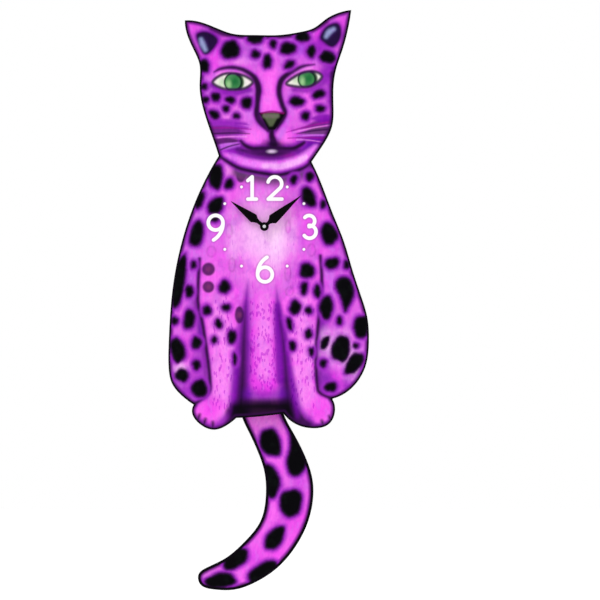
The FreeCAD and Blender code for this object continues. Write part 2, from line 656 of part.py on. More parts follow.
# ---- battery --------------------------------------------------------------------------------
def battery_can():
    """Drawn steel can with the positive nub, open at the other end."""
    can = bar(CELL_R - SLEEVE_T, CELL_X0, CELL_X1 - CAP_T, CELL_Y, CELL_Z)
    nub = bar(NUB_R, CELL_X0 - CELL_NUB, CELL_X0, CELL_Y, CELL_Z)
    return fuse(can, nub).cut(bar(CELL_INNER_R, CELL_X0 + CAN_T, CELL_X1, CELL_Y, CELL_Z))


def battery_filling():
    return bar(CELL_INNER_R, CELL_X0 + CAN_T, CELL_X1 - CAP_T - PLUG_T, CELL_Y, CELL_Z)


def battery_cap():
    """Negative end plate, crimped into the mouth of the can."""
    plug = bar(CELL_INNER_R, CELL_X1 - CAP_T - PLUG_T, CELL_X1 - CAP_T, CELL_Y, CELL_Z)
    return fuse(plug, bar(CAP_R, CELL_X1 - CAP_T, CELL_X1, CELL_Y, CELL_Z))


def battery_sleeve():
    outer = bar(CELL_R, CELL_X0 + 0.4, CELL_X1 - 0.8, CELL_Y, CELL_Z)
    return outer.cut(bar(CELL_R - SLEEVE_T, CELL_X0, CELL_X1, CELL_Y, CELL_Z))


def positive_contact():
    """Spring-steel blade between the battery's nub and the end of the bay."""
    x0 = -BAY_HALF_L
    return fuse(box(x0, x0 + 0.3, CELL_Y - 5, CELL_Y + 5, CELL_Z - 4, CELL_Z + 4),
                box(x0, x0 + 0.4, CELL_Y - 2, CELL_Y + 2, CELL_Z - 2, CELL_Z + 2))


def negative_contact():
    """Plate with a squashed spiral spring, drawn as two coils."""
    x1 = BAY_HALF_L
    plate = box(x1 - 0.3, x1, CELL_Y - 5, CELL_Y + 5, CELL_Z - 5, CELL_Z + 5)
    coils = [Part.makeTorus(r, 0.25, V(x1 - 0.3 - h, CELL_Y, CELL_Z), V(1, 0, 0))
             for r, h in ((4.0, 0.15), (3.65, 0.4))]
    return fuse(plate, *coils)


# ---- setting knob ---------------------------------------------------------------------------
def setting_knob():
    """Knurled disc in the rear cover with a finger bar, pressed on the minute wheel's arbor."""
    points = []
    for i in range(KNOB_TEETH):
        for share, r in ((0.0, KNOB_R), (0.5, KNOB_ROOT_R)):
            a = 2 * math.pi * (i + share) / KNOB_TEETH
            points.append((MINUTE[0] + r * math.cos(a), MINUTE[1] + r * math.sin(a)))
    y0, y1 = COVER_IN - 0.9, WALL_Y - 0.4
    disc = slab(points, y0, y1)
    dish = rod(MINUTE, KNOB_DISH_R, y1 - 0.8, y1 + 1)
    grip = box(MINUTE[0] - 4.8, MINUTE[0] + 4.8, y1 - 1.0, y1, -0.8, 0.8)
    hub = rod(MINUTE, KNOB_HUB_R, COVER_IN - 3.4, y0 + 0.1)
    return fuse(disc.cut(dish), grip, hub).cut(rod(MINUTE, MINUTE_ARBOR_R, -8, KNOB_SOCKET_Y))


# ---- hands ----------------------------------------------------------------------------------
def hand(side, degrees, y, hole_r):
    """A narrow neck, a spurred shoulder and a long taper, mirrored from one side's points."""
    points = [*side, *[(-x, z) for x, z in reversed(side)]]
    blade = fuse(slab(points, y, y + HAND_T), rod(CENTRE, HUB_R, y, y + HAND_T))
    return turned(blade, CENTRE, degrees).cut(rod(CENTRE, hole_r, y - 3, y + 3))


def hour_hand():
    """The hand with the collet that grips the hour tube."""
    blade = hand(HOUR_HAND_SIDE, HOUR_HAND_AT, HOUR_HAND_Y, TUBE_R)
    collet = ring(CENTRE, 2.7, TUBE_R, HOUR_HAND_Y + HAND_T, HOUR_HAND_Y + HAND_T + 1.6)
    return fuse(blade, collet)


def minute_hand():
    return hand(MINUTE_HAND_SIDE, MINUTE_HAND_AT, MINUTE_HAND_Y, ARBOR_TIP_R)


def hand_nut():
    y0 = MINUTE_HAND_Y - 1.2
    nut = ring(CENTRE, 2.3, ARBOR_TIP_R, y0, MINUTE_HAND_Y)
    rim = [e for e in nut.Edges if e.BoundBox.YMax < y0 + 0.01 and e.BoundBox.XLength > 4]
    return nut.makeFillet(0.4, rim)


# ---- tail and pendulum drive ----------------------------------------------------------------
def tail_board():
    board = curved_slab(TAIL_OUTLINE, TAIL_FRONT, TAIL_BACK)
    return cut(board, *[rod((0, z), PILOT_R, TAIL_FRONT + 0.3, TAIL_BACK) for z in TAIL_SCREW_ZS])


def tail_print():
    return curved_slab(TAIL_OUTLINE, TAIL_FRONT - PRINT_T, TAIL_FRONT)


def swing_arm():
    """Moulded lever: a bearing eye, a cup for the drive magnet and a foot that holds the tail."""
    y0, y1 = ARM_Y0, ARM_Y0 + ARM_T
    blade = box(-ARM_HALF_W, ARM_HALF_W, y0, y1, ARM_FOOT_TOP - 2, PIVOT_Z)
    foot = rounded_box(-ARM_FOOT_HALF_W, ARM_FOOT_HALF_W, y0, y1, ARM_BOTTOM, ARM_FOOT_TOP, 3.0)
    rib = box(-1.0, 1.0, y1 - 0.1, y1 + 1.0, ARM_FOOT_TOP + 1, MAGNET_Z - MAGNET_R - 0.5)
    eye = rod((0, PIVOT_Z), EYE_R, y0 - 0.4, y1 + 1.2)
    cup = rod((0, MAGNET_Z), MAGNET_R + 1.0, y0, y1 + 1.6)
    arm = fuse(blade, foot, rib, eye, cup)
    return cut(arm, rod((0, PIVOT_Z), PIN_R + PIN_GAP, y0 - 2, y1 + 2),
               rod((0, MAGNET_Z), MAGNET_R, y1 - 0.6, y1 + 3),
               *[rod((0, z), SCREW_R + 0.1, y0 - 1, y1 + 1) for z in TAIL_SCREW_ZS])


def drive_magnet():
    y1 = ARM_Y0 + ARM_T
    return rod((0, MAGNET_Z), MAGNET_R, y1 - 0.6, y1 + 2.3)


def pivot_pin():
    return rod((0, PIVOT_Z), PIN_R, BOARD_BACK + PIN_SINK, PIN_BACK)


def tail_screws():
    head_y = ARM_Y0 + ARM_T
    length = ARM_T + TAIL_T - 0.4
    return Part.makeCompound([pan_screw((0, z), head_y, length) for z in TAIL_SCREW_ZS])


def drive_bobbin():
    at = (0, MAGNET_Z)
    y0, y1 = DRIVE_COIL_Y
    flange_r = DRIVE_COIL_R + FLANGE_PROUD
    spool = fuse(rod(at, DRIVE_COIL_BORE, y0, y1), rod(at, flange_r, y0, y0 + FLANGE_T),
                 rod(at, flange_r, y1 - FLANGE_T, y1))
    return spool.cut(rod(at, DRIVE_COIL_BORE - 0.8, y0 - 1, y1 + 1))


def drive_winding():
    y0, y1 = DRIVE_COIL_Y
    return ring((0, MAGNET_Z), DRIVE_COIL_R, DRIVE_COIL_BORE, y0 + FLANGE_T, y1 - FLANGE_T)


def drive_circuit_board():
    y0, y1 = DRIVE_BOARD_Y
    board = box(-15.5, 15.5, y0, y1, MAGNET_Z - 7.5, MAGNET_Z + 8.5)
    return cut(board, *[rod((side * DRIVE_PEG_X, MAGNET_Z), DRIVE_PIN_R + 0.05, y0 - 1, y1 + 1)
                        for side in (-1, 1)])


# ---- export ---------------------------------------------------------------------------------
def all_parts():
    makers = [
        body_board, body_print, movement_screws, hanger_plate, hanger_screws,
        movement_front_case, movement_rear_cover, centre_bushing, train_plate, train_plate_screws,
        stator, coil_core, stepper_bobbin, stepper_winding, clock_circuit_board, clock_chip,
        quartz_crystal, battery_can, battery_filling, battery_cap, battery_sleeve,
        positive_contact, negative_contact,
        setting_knob, hour_hand, minute_hand, hand_nut, clutch_spring, rotor_magnet,
        tail_board, tail_print, swing_arm, drive_magnet, pivot_pin, tail_screws,
        drive_bobbin, drive_winding, drive_circuit_board,
    ]
    parts = {maker.__name__: maker() for maker in makers}
    parts.update(wheel_train())
    return parts


def main():
    os.makedirs("parts", exist_ok=True)
    for name, shape in sorted(all_parts().items()):
        shape.translate(V(0, 0, -HANGER_RISE))
        shape.exportStep(f"parts/{name}.step")
        print(f"{name}: {len(shape.Solids)} solids, {shape.Volume:.1f} mm3, valid {shape.isValid()}")


main()
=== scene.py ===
"""Looks for the wall clock: a leopard cat printed on hardboard, with its tail as the pendulum.

The two printed sheets are fine grids of points, cut to the outlines of the CAD sheets. The picture
is laid out in millimetres from the dial's centre, x to the right and z up. Soft colour is stored at
each point. Spots, ink lines, fur and numerals are stored as the distance to their edge, which the
print's material turns into sharp edges at any scale.
"""

import math

import bmesh
import bpy
import numpy as np
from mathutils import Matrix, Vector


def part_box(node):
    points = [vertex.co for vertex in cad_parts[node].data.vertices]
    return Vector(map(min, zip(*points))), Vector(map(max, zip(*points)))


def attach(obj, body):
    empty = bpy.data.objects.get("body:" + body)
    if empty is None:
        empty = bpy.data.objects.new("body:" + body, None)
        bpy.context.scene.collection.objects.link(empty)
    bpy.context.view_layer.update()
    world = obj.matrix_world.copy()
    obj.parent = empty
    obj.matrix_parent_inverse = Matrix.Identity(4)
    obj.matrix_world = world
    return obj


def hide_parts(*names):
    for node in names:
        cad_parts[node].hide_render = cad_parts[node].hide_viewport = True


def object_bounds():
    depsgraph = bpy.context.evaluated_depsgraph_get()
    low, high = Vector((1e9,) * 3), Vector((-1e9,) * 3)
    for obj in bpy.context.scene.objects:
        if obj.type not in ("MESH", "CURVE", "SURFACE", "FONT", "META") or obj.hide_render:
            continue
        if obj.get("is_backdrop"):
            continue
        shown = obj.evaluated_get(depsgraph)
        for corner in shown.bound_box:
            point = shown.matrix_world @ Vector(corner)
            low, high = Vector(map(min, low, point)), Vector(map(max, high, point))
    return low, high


MM = 0.001
SEED = 11
# Millimetres: a distance that marks nothing, and what is looked at beyond a line's reach
FAR, SPARE = 30.0, 6.0


# ---- colours ----
def srgb(red, green, blue):
    """Linear colour from display values of 0 to 255."""
    shares = [c / 255 for c in (red, green, blue)]
    return tuple(s / 12.92 if s < 0.04 else ((s + 0.055) / 1.055) ** 2.4 for s in shares)


INK = srgb(8, 4, 12)
NIGHT = srgb(54, 12, 72)
PLUM = srgb(104, 32, 122)
MAROON = srgb(128, 14, 96)
DEEP = srgb(122, 10, 164)
PURPLE = srgb(150, 38, 184)
VIOLET = srgb(184, 44, 214)
LAVENDER = srgb(206, 112, 232)
ORCHID = srgb(218, 100, 222)
MAGENTA = srgb(232, 66, 228)
PINK = srgb(244, 104, 236)
BLUSH = srgb(246, 142, 238)
PALE = srgb(250, 192, 246)
PALEST = srgb(254, 214, 250)
CREAM = srgb(242, 240, 228)
EYE_LIGHT = srgb(156, 204, 142)
EYE_MID = srgb(78, 148, 88)
EYE_DARK = srgb(30, 110, 56)
EYE_RIM = srgb(14, 44, 28)
NOSE_LIGHT = srgb(106, 108, 92)
NOSE_OLIVE = srgb(86, 100, 70)
LIP = srgb(220, 196, 226)
FADED = srgb(124, 52, 104)
BERRY = srgb(146, 22, 146)
CROWN_VIOLET = srgb(172, 72, 220)
INDIGO = srgb(98, 10, 160)
HOT_PINK = srgb(254, 116, 240)
PAW_PINK = srgb(244, 82, 234)
CHIN_PINK = srgb(240, 128, 246)
EAR_DARK = srgb(26, 14, 52)
EAR_PALE = srgb(150, 162, 204)
EAR_BLUE = srgb(58, 44, 104)
DUSK = srgb(96, 58, 104)


# ---- the picture's layout, in millimetres from the dial's centre ----
SHEET_PITCH = 0.55
BODY_OUTLINE_W = 1.4
TAIL_OUTLINE_W = 2.0
RIM_GLOW, RIM_STRENGTH = 2.8, 0.75
# A point of the grid counts as inside the sheet this share of a cell within its outline.
INSIDE_SHARE = 0.35
CORNER_TURN = math.radians(35)
WELD = 0.01 * MM

# Spots: (x, z, width, height), then any lean in degrees to the right of upright
HEAD_SPOTS = (
    (-23, 120, 13, 13, 15), (-6, 128, 12, 8), (26, 129, 10, 8, -10), (6, 124, 5, 6),
    (16, 121, 11, 9), (32, 119, 6, 9, 12), (43, 115, 11, 9, 10), (-6, 117, 6, 6),
    (2, 112, 6, 10), (17, 110, 8, 5, -35), (-41, 109, 8, 9), (-41, 95, 5, 5),
    (-40, 86, 5, 5), (-33, 88, 7, 6, 25), (-23, 86, 7, 5, 5), (-12, 84, 8, 8),
    (-26, 80, 5, 5), (-34, 76, 8, 6, 25), (-19, 75, 5, 4), (22, 85, 10, 7, 10),
    (37, 90, 9, 6, -20), (38, 80, 7, 5), (28, 75, 6, 6),
)
BODY_SPOTS = (
    (-33, 34, 10, 18, 5), (-24, 29, 6, 8, 35), (-44, 18, 6, 13, 18), (-33, 14, 10, 13, 30),
    (-34, 5, 7, 4), (-46, -5, 9, 19, 12), (-58, -37, 9, 36, 9), (-48, -26, 4, 6),
    (-51, -44, 6, 9), (-27, -41, 8, 9), (-39, -57, 6, 7), (-26, -55, 6, 5),
    (-51, -63, 8, 14, 12), (-61, -64, 5, 6), (-31, -66, 5, 7, -15), (-22, -75, 6, 10, 5),
    (-34, -77, 4, 5), (-46, -79, 7, 9), (-59, -84, 10, 18, -10), (-46, -94, 6, 7),
    (-20, -90, 3, 8), (-56, -101, 10, 9, 10), (-44, -110, 11, 13),
    (20, 32, 5, 7, 15), (31, 34, 6, 7), (30, 20, 9, 15, -20), (40, 15, 4, 6),
    (44, -5, 11, 16, -15), (46, -25, 10, 8, -20), (56, -26, 5, 6), (29, -30, 10, 11),
    (27, -42, 5, 9, 10), (36, -44, 5, 9), (42, -55, 9, 17, 5), (21, -55, 8, 10, 5),
    (30, -57, 5, 5), (17, -66, 4, 9, -15), (30, -73, 5, 7), (51, -64, 4, 6),
    (66, -68, 11, 16, 12), (19, -81, 5, 7), (41, -79, 6, 10, 20), (52, -83, 13, 19, 12),
    (62, -81, 4, 4), (61, -93, 10, 18, 35), (32, -85, 4, 6), (40, -93, 5, 6),
    (45, -109, 9, 7),
)
TAIL_SPOTS = (
    (4, -147, 14, 20, -15), (4, -173, 12, 24, -8), (18, -188, 15, 20, 8), (7, -212, 11, 18, 32),
    (-20, -226, 13, 19, 50), (-1, -236, 13, 24, 52), (-30, -241, 11, 21, 85),
)
FADED_SPOTS = ((-38, -29, 8, 8), (-38, -41, 7, 7), (-17, -60, 5, 11), (-16, 34, 5, 7))
GHOST_SPOTS = ((32, -16, 5, 8), (-36, -17, 6, 7), (-24, -3, 4, 9), (-22, -26, 4, 9),
               (16, -32, 4, 10), (17, -44, 5, 6), (16, 0, 3, 8))
# Pale fur round the largest spots
PALE_RIMS = ((52, -83, 14), (61, -94, 12), (41, -79, 10), (-57, -98, 9))

# Lines are points of (x, z, half-width); a smooth curve runs through them.
TEARDROP = ((54, -40, 6), (56, -46, 5), (55, -57, 1))
TAIL_BAND = ((16, -131, 1), (20, -142, 3), (22, -152, 5), (22, -160, 7), (21, -165, 5))
CHIN = ((-31, 48, 0.3), (-25, 44, 0.6), (-18, 40, 0.8), (-11, 38, 0.8), (0, 36, 0.8),
        (9, 35, 0.8), (19, 37, 0.8), (27, 40, 0.6), (32, 44, 0.3))
LEFT_BROW = ((-34, 105, -0.8), (-30, 107, 0.1), (-23, 108, 0.5), (-16, 107, 0.7),
             (-10, 104, 1), (-6, 100, 1.5), (-4, 93, 1.8), (-5, 83, 1.5), (-5, 75, 1.5),
             (-2, 70, 1.4), (3, 66, 1.2))
RIGHT_BROW = ((34, 110, -0.8), (27, 109, 0.1), (20, 106, 0.8), (14, 102, 1.3), (11, 98, 1.5),
              (10, 91, 1.4), (12, 83, 1.2), (14, 77, 1.1), (11, 71, 1.2), (7, 66, 1.2))
PHILTRUM = ((5, 67, 1.2), (5, 62, 1.6), (6, 58, 2), (6, 55, 2.4))
MOUTH = ((-16, 58, 0.2), (-13, 55, 0.8), (-8, 53, 1), (0, 53, 1), (11, 53, 1), (19, 53, 1),
         (24, 55, 1), (27, 57, 0.4))
LEFT_EYE = ((-35, 98), (-29, 103), (-21, 104), (-13, 102), (-8, 98), (-13, 94), (-21, 93),
            (-29, 94))
RIGHT_EYE = ((15, 97), (21, 102), (28, 105), (35, 105), (39, 102), (36, 98), (30, 95), (22, 95))
LEFT_IRIS = (-21, 98, 6)
RIGHT_IRIS = (29, 100, 6)
NOSE = ((-3, 77), (14, 77), (7, 66), (3, 66))
NOSE_LIT = ((0, 76), (9, 76), (5, 69), (4, 69))
LOWER_LIP = ((-16, 52, -2), (-6, 51, 0), (5, 51, 0.6), (15, 51, 0), (24, 52, -2))
CROWN = ((-36, 134, 0), (-26, 131, 0.8), (-8, 130, 0.8), (10, 130, 0.8), (26, 132, 0.8),
         (42, 139, 0))
LEFT_EAR = ((-45, 130), (-39, 131), (-33, 127), (-35, 122), (-40, 118), (-43, 124))
RIGHT_EAR = ((39, 129), (43, 135), (49, 137), (51, 133), (50, 127), (46, 123), (41, 126))
LEFT_GLEAM = ((-43, 127, 0), (-42, 124, 0.5), (-40, 120, 0))
RIGHT_GLEAM = ((42, 129, 0), (44, 132, 0.5), (47, 134, 0))
LEFT_LID_GAP = ((-32, 103, 0), (-26, 106, 0.5), (-18, 106, 0.6), (-11, 103, 0.3), (-7, 99, 0))
RIGHT_LID_GAP = ((15, 100, 0), (19, 104, 0.3), (25, 107, 0.6), (32, 108, 0))
CHIN_LIGHT = ((-28, 48, 0), (-20, 46, 0.6), (-12, 43, 1), (0, 41, 1.2), (10, 41, 1.4),
              (20, 43, 1.6), (28, 47, 1.2), (35, 53, 0.4))
LEFT_LEG_OUT = ((-44, -22, 0.2), (-45, -40, 0.4), (-45, -52, 0.5), (-42, -66, 0.5),
                (-39, -86, 0.5), (-37, -104, 0.5), (-38, -113, 0.5), (-48, -121, 0.4))
LEFT_PAW = ((-49, -127), (-43, -135), (-34, -138), (-25, -135))
LEFT_LEG_IN = ((-20, -129), (-20, -105), (-17, -75), (-13, -48))
RIGHT_LEG_OUT = ((38, -20, 0.2), (39, -36, 0.4), (38, -54, 0.5), (36, -72, 0.5), (35, -90, 0.5),
                 (36, -108, 0.5), (38, -113, 0.5), (46, -117, 0.4))
RIGHT_PAW = ((48, -125), (44, -134), (37, -137), (30, -134))
RIGHT_LEG_IN = ((20, -120), (17, -105), (15, -80), (11, -53))
LEFT_GAP = ((-11, -36, -4), (-13, -58, 0), (-14, -80, 1.5), (-15, -105, 2.5), (-16, -128, 4))
RIGHT_GAP = ((8, -40, -4), (10, -60, -0.5), (13, -80, 0.5), (15, -105, 1.5), (16, -127, 4))
UNDER_BODY = ((-20, -123), (-3, -122), (15, -122), (20, -134), (-22, -134))
TOES = ((-44, -129, -1), (-40, -132, -1), (-35, -134, 0), (45, -119, 2), (47, -124, 2),
        (44, -130, 1), (39, -133, 1))

# Whiskers and the bands behind them: (x, z) at the muzzle, (x, z) on the cheek, half-width
CHEEK_BANDS = (
    (-12, 70, -36, 71, 1.0, PURPLE), (-10, 67, -36, 68, 1.4, PURPLE),
    (-11, 64, -36, 65, 1.8, PLUM),
    (-14, 58, -35, 57, 1.2, NIGHT), (-17, 55, -33, 53, 0.8, LAVENDER),
    (24, 66, 47, 70, 2.0, PLUM), (24, 63, 45, 65, 1.4, DUSK),
    (22, 58, 43, 59, 1.2, DEEP), (30, 73, 46, 73, 1.6, DEEP),
)
WHISKERS = (
    (-10, 69, -35, 71, 0.2, PURPLE), (-9, 66, -35, 67, 0.1, BERRY),
    (-10, 63, -35, 63, 0.1, NIGHT), (-12, 61, -36, 60, -0.1, BLUSH),
    (-17, 57, -34, 54, 0, LAVENDER), (-17, 56, -30, 52, 0.1, NIGHT),
    (15, 64, 44, 71, 0.2, BERRY), (20, 64, 46, 69, -0.1, BLUSH),
    (22, 63, 44, 66, 0.2, NIGHT), (19, 61, 44, 62, 0.1, LAVENDER),
    (16, 60, 43, 60, 0.1, BERRY), (22, 59, 41, 57, -0.2, BLUSH),
)

# Numerals
NUMERAL_HALF_W = 1.25
DOT_R, DOT_RADIUS = 1.0, 31.0
DOT_HOURS = (1, 2, 4, 5, 7, 8, 10, 11)


# ---- outlines of the CAD sheets ----
def front_loops(node):
    """Closed outlines of a node's front face in dial millimetres, the longest first."""
    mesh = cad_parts[node].data
    edges = set()
    for polygon in mesh.polygons:
        if polygon.normal.y < -0.9:
            ring = [dial_point(mesh.vertices[i].co) for i in polygon.vertices]
            edges.update(zip(ring, ring[1:] + ring[:1]))
    follows = {a: b for a, b in edges if (b, a) not in edges}
    loops = []
    while follows:
        start, point = follows.popitem()
        loop = [start]
        while point != start:
            loop.append(point)
            point = follows.pop(point)
        loops.append(np.array(loop))
    return sorted(loops, key=len, reverse=True)


def dial_point(co):
    return (round((co.x - DIAL_X) / MM, 4), round((co.z - DIAL_Z) / MM, 4))


# ---- distances ----
def segment_distance(x, z, a, b):
    """Distance to the segment from a to b, and the share of the way along it."""
    ax, az = a[0], a[1]
    dx, dz = b[0] - ax, b[1] - az
    share = np.clip(((x - ax) * dx + (z - az) * dz) / max(dx * dx + dz * dz, 1e-12), 0, 1)
    return np.hypot(x - ax - share * dx, z - az - share * dz), share


def region_distance(x, z, loop):
    """Signed distance to a closed outline, negative inside."""
    nearest = np.full(x.shape, 1e9)
    inside = np.zeros(x.shape, bool)
    for a, b in zip(loop, np.roll(loop, -1, axis=0)):
        nearest = np.minimum(nearest, segment_distance(x, z, a, b)[0])
        if a[1] != b[1]:
            crosses = (a[1] > z) != (b[1] > z)
            inside ^= crosses & (x < a[0] + (z - a[1]) * (b[0] - a[0]) / (b[1] - a[1]))
    return np.where(inside, -nearest, nearest)


def nearest_on(loops, x, z):
    """For each point, the closest point on any of the outlines."""
    best = np.full(x.shape, 1e9)
    out_x, out_z = x.copy(), z.copy()
    for loop in loops:
        for a, b in zip(loop, np.roll(loop, -1, axis=0)):
            distance, share = segment_distance(x, z, a, b)
            closer = distance < best
            best = np.where(closer, distance, best)
            out_x = np.where(closer, a[0] + share * (b[0] - a[0]), out_x)
            out_z = np.where(closer, a[1] + share * (b[1] - a[1]), out_z)
    return out_x, out_z


def smooth(points, closed=False, steps=7):
    """Points of a Catmull-Rom curve through the given ones."""
    p = np.array(points, float)
    if closed:
        p = np.vstack([p[-1], p, p[0], p[1]])
    else:
        p = np.vstack([2 * p[0] - p[1], p, 2 * p[-1] - p[-2]])
    curve = []
    for i in range(1, len(p) - 2):
        for t in np.linspace(0, 1, steps, endpoint=False):
            curve.append(0.5 * (2 * p[i] + (p[i + 1] - p[i - 1]) * t
                                + (2 * p[i - 1] - 5 * p[i] + 4 * p[i + 1] - p[i + 2]) * t ** 2
                                + (3 * p[i] - p[i - 1] - 3 * p[i + 1] + p[i + 2]) * t ** 3))
    if not closed:
        curve.append(p[-2])
    return np.array(curve)


def arc(x, z, r, start, end, half_width, steps=18):
    """Points of a round stroke; angles in degrees from +x, anticlockwise."""
    angles = np.radians(np.linspace(start, end, steps))
    return [(x + r * math.cos(a), z + r * math.sin(a), half_width) for a in angles]


def fade(distance, soft):
    """One inside an edge, falling smoothly to nothing at the distance soft outside it."""
    t = np.clip(1 - distance / soft, 0, 1)
    return t * t * (3 - 2 * t)


# ---- painting ----
class Picture:
    """Soft colours and edge distances at the points of one sheet."""

    def __init__(self, x, z, ground):
        self.x, self.z = x, z
        self.colour = np.tile(ground, (len(x), 1)).astype(float)
        self.fields = {name: np.full(len(x), FAR) for name in ("spot", "ink", "fur", "white")}
        self.mask = np.ones(len(x))

    def near(self, points, margin):
        points = np.array(points, float)
        low, high = points[:, :2].min(0) - margin, points[:, :2].max(0) + margin
        return np.flatnonzero((self.x > low[0]) & (self.x < high[0])
                              & (self.z > low[1]) & (self.z < high[1]))

    def line_distance(self, points, margin):
        """Where a line of varying half-width matters, and the distance to its edge there."""
        at = self.near(points, margin)
        nearest = np.full(len(at), FAR)
        for a, b in zip(points[:-1], points[1:]):
            distance, share = segment_distance(self.x[at], self.z[at], a, b)
            nearest = np.minimum(nearest, distance - a[2] - share * (b[2] - a[2]))
        return at, nearest

    def draw(self, field, points, margin=8.0):
        """Adds a sharp-edged line to a field."""
        at, distance = self.line_distance(points, margin)
        self.fields[field][at] = np.minimum(self.fields[field][at], distance)

    def blend(self, at, weight, colour):
        weight = (weight * self.mask[at])[:, None]
        self.colour[at] += weight * (np.array(colour) - self.colour[at])

    def darken(self, weight, colour):
        """Blends a colour over the whole sheet, only where it is the darker."""
        shaded = self.colour + weight[:, None] * (np.array(colour) - self.colour)
        self.colour = np.minimum(self.colour, shaded)

    def glaze(self, points, colour, strength, soft):
        """A soft-edged line of colour."""
        self.line(smooth(points), colour, strength, soft)

    def line(self, points, colour, strength, soft):
        """A soft-edged line of colour along points that already lie close together."""
        at, distance = self.line_distance(points, soft + SPARE)
        self.blend(at, strength * fade(distance, soft), colour)

    def shape(self, loop, colour, strength=1.0, soft=0.6):
        """A closed area of colour, soft at its edge."""
        at = self.near(loop, soft + SPARE)
        distance = region_distance(self.x[at], self.z[at], loop)
        self.blend(at, strength * fade(distance, soft), colour)

    def wash(self, x, z, rx, rz, colour, strength=0.8, lean=0):
        """A round patch of colour that fades to nothing at its rim."""
        reach = max(rx, rz)
        at = self.near([(x, z)], reach)
        u, v = leaning(self.x[at] - x, self.z[at] - z, lean)
        r = np.hypot(u / rx, v / rz)
        self.blend(at, strength * fade(r, 1.0), colour)

    def washes(self, *rows):
        """Patches laid one over another, each a row of wash's arguments."""
        for row in rows:
            self.wash(*row)

    def spot(self, random, x, z, width, height, lean=0):
        """A leopard spot: an ellipse whose edge wanders."""
        at = self.near([(x, z)], max(width, height) / 2 + SPARE)
        u, v = leaning(self.x[at] - x, self.z[at] - z, lean)
        stretch = height / width
        angle = np.arctan2(v / stretch, u)
        radius = np.full(len(at), width / 2)
        for waves, size in ((2, 0.04), (3, 0.05), (4, 0.03), (6, 0.02)):
            radius *= 1 + size * np.cos(waves * angle + random.uniform(0, 2 * math.pi))
        r = np.maximum(np.hypot(u, v / stretch), 1e-6)
        slope = np.hypot(u, v / stretch ** 2) / r
        distance = (r - radius) / np.maximum(slope, 0.3)
        self.fields["spot"][at] = np.minimum(self.fields["spot"][at], distance)


def leaning(dx, dz, degrees):
    """Coordinates across and along an axis that leans to the right of upright."""
    a = math.radians(degrees)
    return dx * math.cos(a) - dz * math.sin(a), dx * math.sin(a) + dz * math.cos(a)


def spots(picture, layout, random):
    for spot in layout:
        picture.spot(random, *spot)


def fur(picture, x0, x1, z0, z1, count, random, length=2.4, half_width=0.2):
    """Short upright hairs scattered over a box."""
    for _ in range(count):
        x, z = random.uniform(x0, x1), random.uniform(z0, z1)
        bow = random.uniform(-0.35, 0.35)
        hair = [(x, z, half_width), (x + bow, z - length / 2, half_width * 1.3),
                (x + bow * 0.4, z - length, half_width * 0.4)]
        picture.draw("fur", hair, margin=1.5)


# ---- the body's picture ----
def paint_trunk(p):
    """Chest, shoulders and flanks."""
    p.washes(
        (-46, -10, 26, 70, LAVENDER, 0.6, 12), (46, -12, 26, 66, VIOLET, 0.3, -16),
        (-52, -98, 26, 42, PURPLE, 0.7), (-56, -66, 15, 40, PINK, 0.5),
        (-55, -92, 11, 26, MAGENTA, 0.7), (54, -94, 30, 44, VIOLET, 0.7),
        (57, -66, 18, 34, ORCHID, 0.7), (50, -100, 15, 16, MAGENTA, 0.7),
        (58, -106, 12, 8, PURPLE, 0.8, -40), (-54, -113, 10, 7, PURPLE), (0, 24, 34, 22, ORCHID),
        (-24, 22, 18, 20, PINK), (0, -8, 36, 46, BLUSH, 0.95), (-1, -6, 29, 40, PALE, 1.0),
        (8, -8, 11, 28, PALEST, 0.7), (26, 2, 12, 18, PINK, 0.6),
        (38, 14, 10, 26, PINK, 0.8, -20), (-36, 26, 8, 18, LAVENDER, 0.6, 25),
        (-22, -8, 6, 28, PALE, 0.5), (19, -4, 5, 24, PALE, 0.5), (26, -8, 4, 16, VIOLET, 0.4),
        (-10, -28, 14, 16, HOT_PINK, 0.4), (40, -18, 9, 8, PINK), (-34, -32, 16, 40, PINK),
        (30, -44, 18, 46, PINK, 0.75), (-50, -44, 6, 26, LAVENDER, 0.7),
        (44, -36, 6, 22, LAVENDER, 0.8, -8),
    )


def paint_legs(p):
    """Forelegs, with the thighs in their shade, and the paws."""
    for out, paw, inner in ((LEFT_LEG_OUT, LEFT_PAW, LEFT_LEG_IN),
                            (RIGHT_LEG_OUT, RIGHT_PAW, RIGHT_LEG_IN)):
        shade = [(x, z, 0.3) for x, z, _ in out[2:7]]
        p.glaze(shade, PURPLE, 0.75, 12)
        p.glaze(shade, NIGHT, 0.7, 5)
        leg = [(x, z) for x, z, _ in out]
        p.shape([*leg, *paw, *inner], PINK, 0.9, soft=1.0)
    p.washes(
        (-43, -70, 4, 18, INDIGO), (40, -62, 5, 16, INDIGO, 0.5), (43, -104, 9, 14, INDIGO, 0.6),
    )
    for x, top, bottom in ((-29, -50, -124), (27, -50, -122)):
        p.glaze(((x - 2, top, 2), (x, (top + bottom) / 2, 4), (x, bottom, 3)), BLUSH, 0.8, 8)
    for x in (-36, 38):
        p.wash(x, -124, 15, 14, PAW_PINK, 1.0)
    p.glaze(((-16, -50, -4), (-19, -84, -1), (-20, -128, 3)), PURPLE, 0.85, 5)
    p.glaze(((13, -56, -4), (16, -90, -1), (20, -110, 0), (22, -124, 2), (30, -134, 2)),
            PURPLE, 0.85, 5)
    p.glaze(((17, -116, 0), (20, -126, 2), (27, -134, 1.6), (36, -137, 0.6)), NIGHT, 0.95, 4)
    p.glaze(((-24, -126, 0), (-24, -133, 1.5), (-30, -138, 1)), NIGHT, 0.85, 4.5)
    p.glaze(((-45, -132, 0), (-34, -137, 1.4), (-24, -131, 2)), PURPLE, 0.85, 5)
    p.glaze(((34, -137, 1), (45, -134, 0)), PURPLE, 0.8, 4)


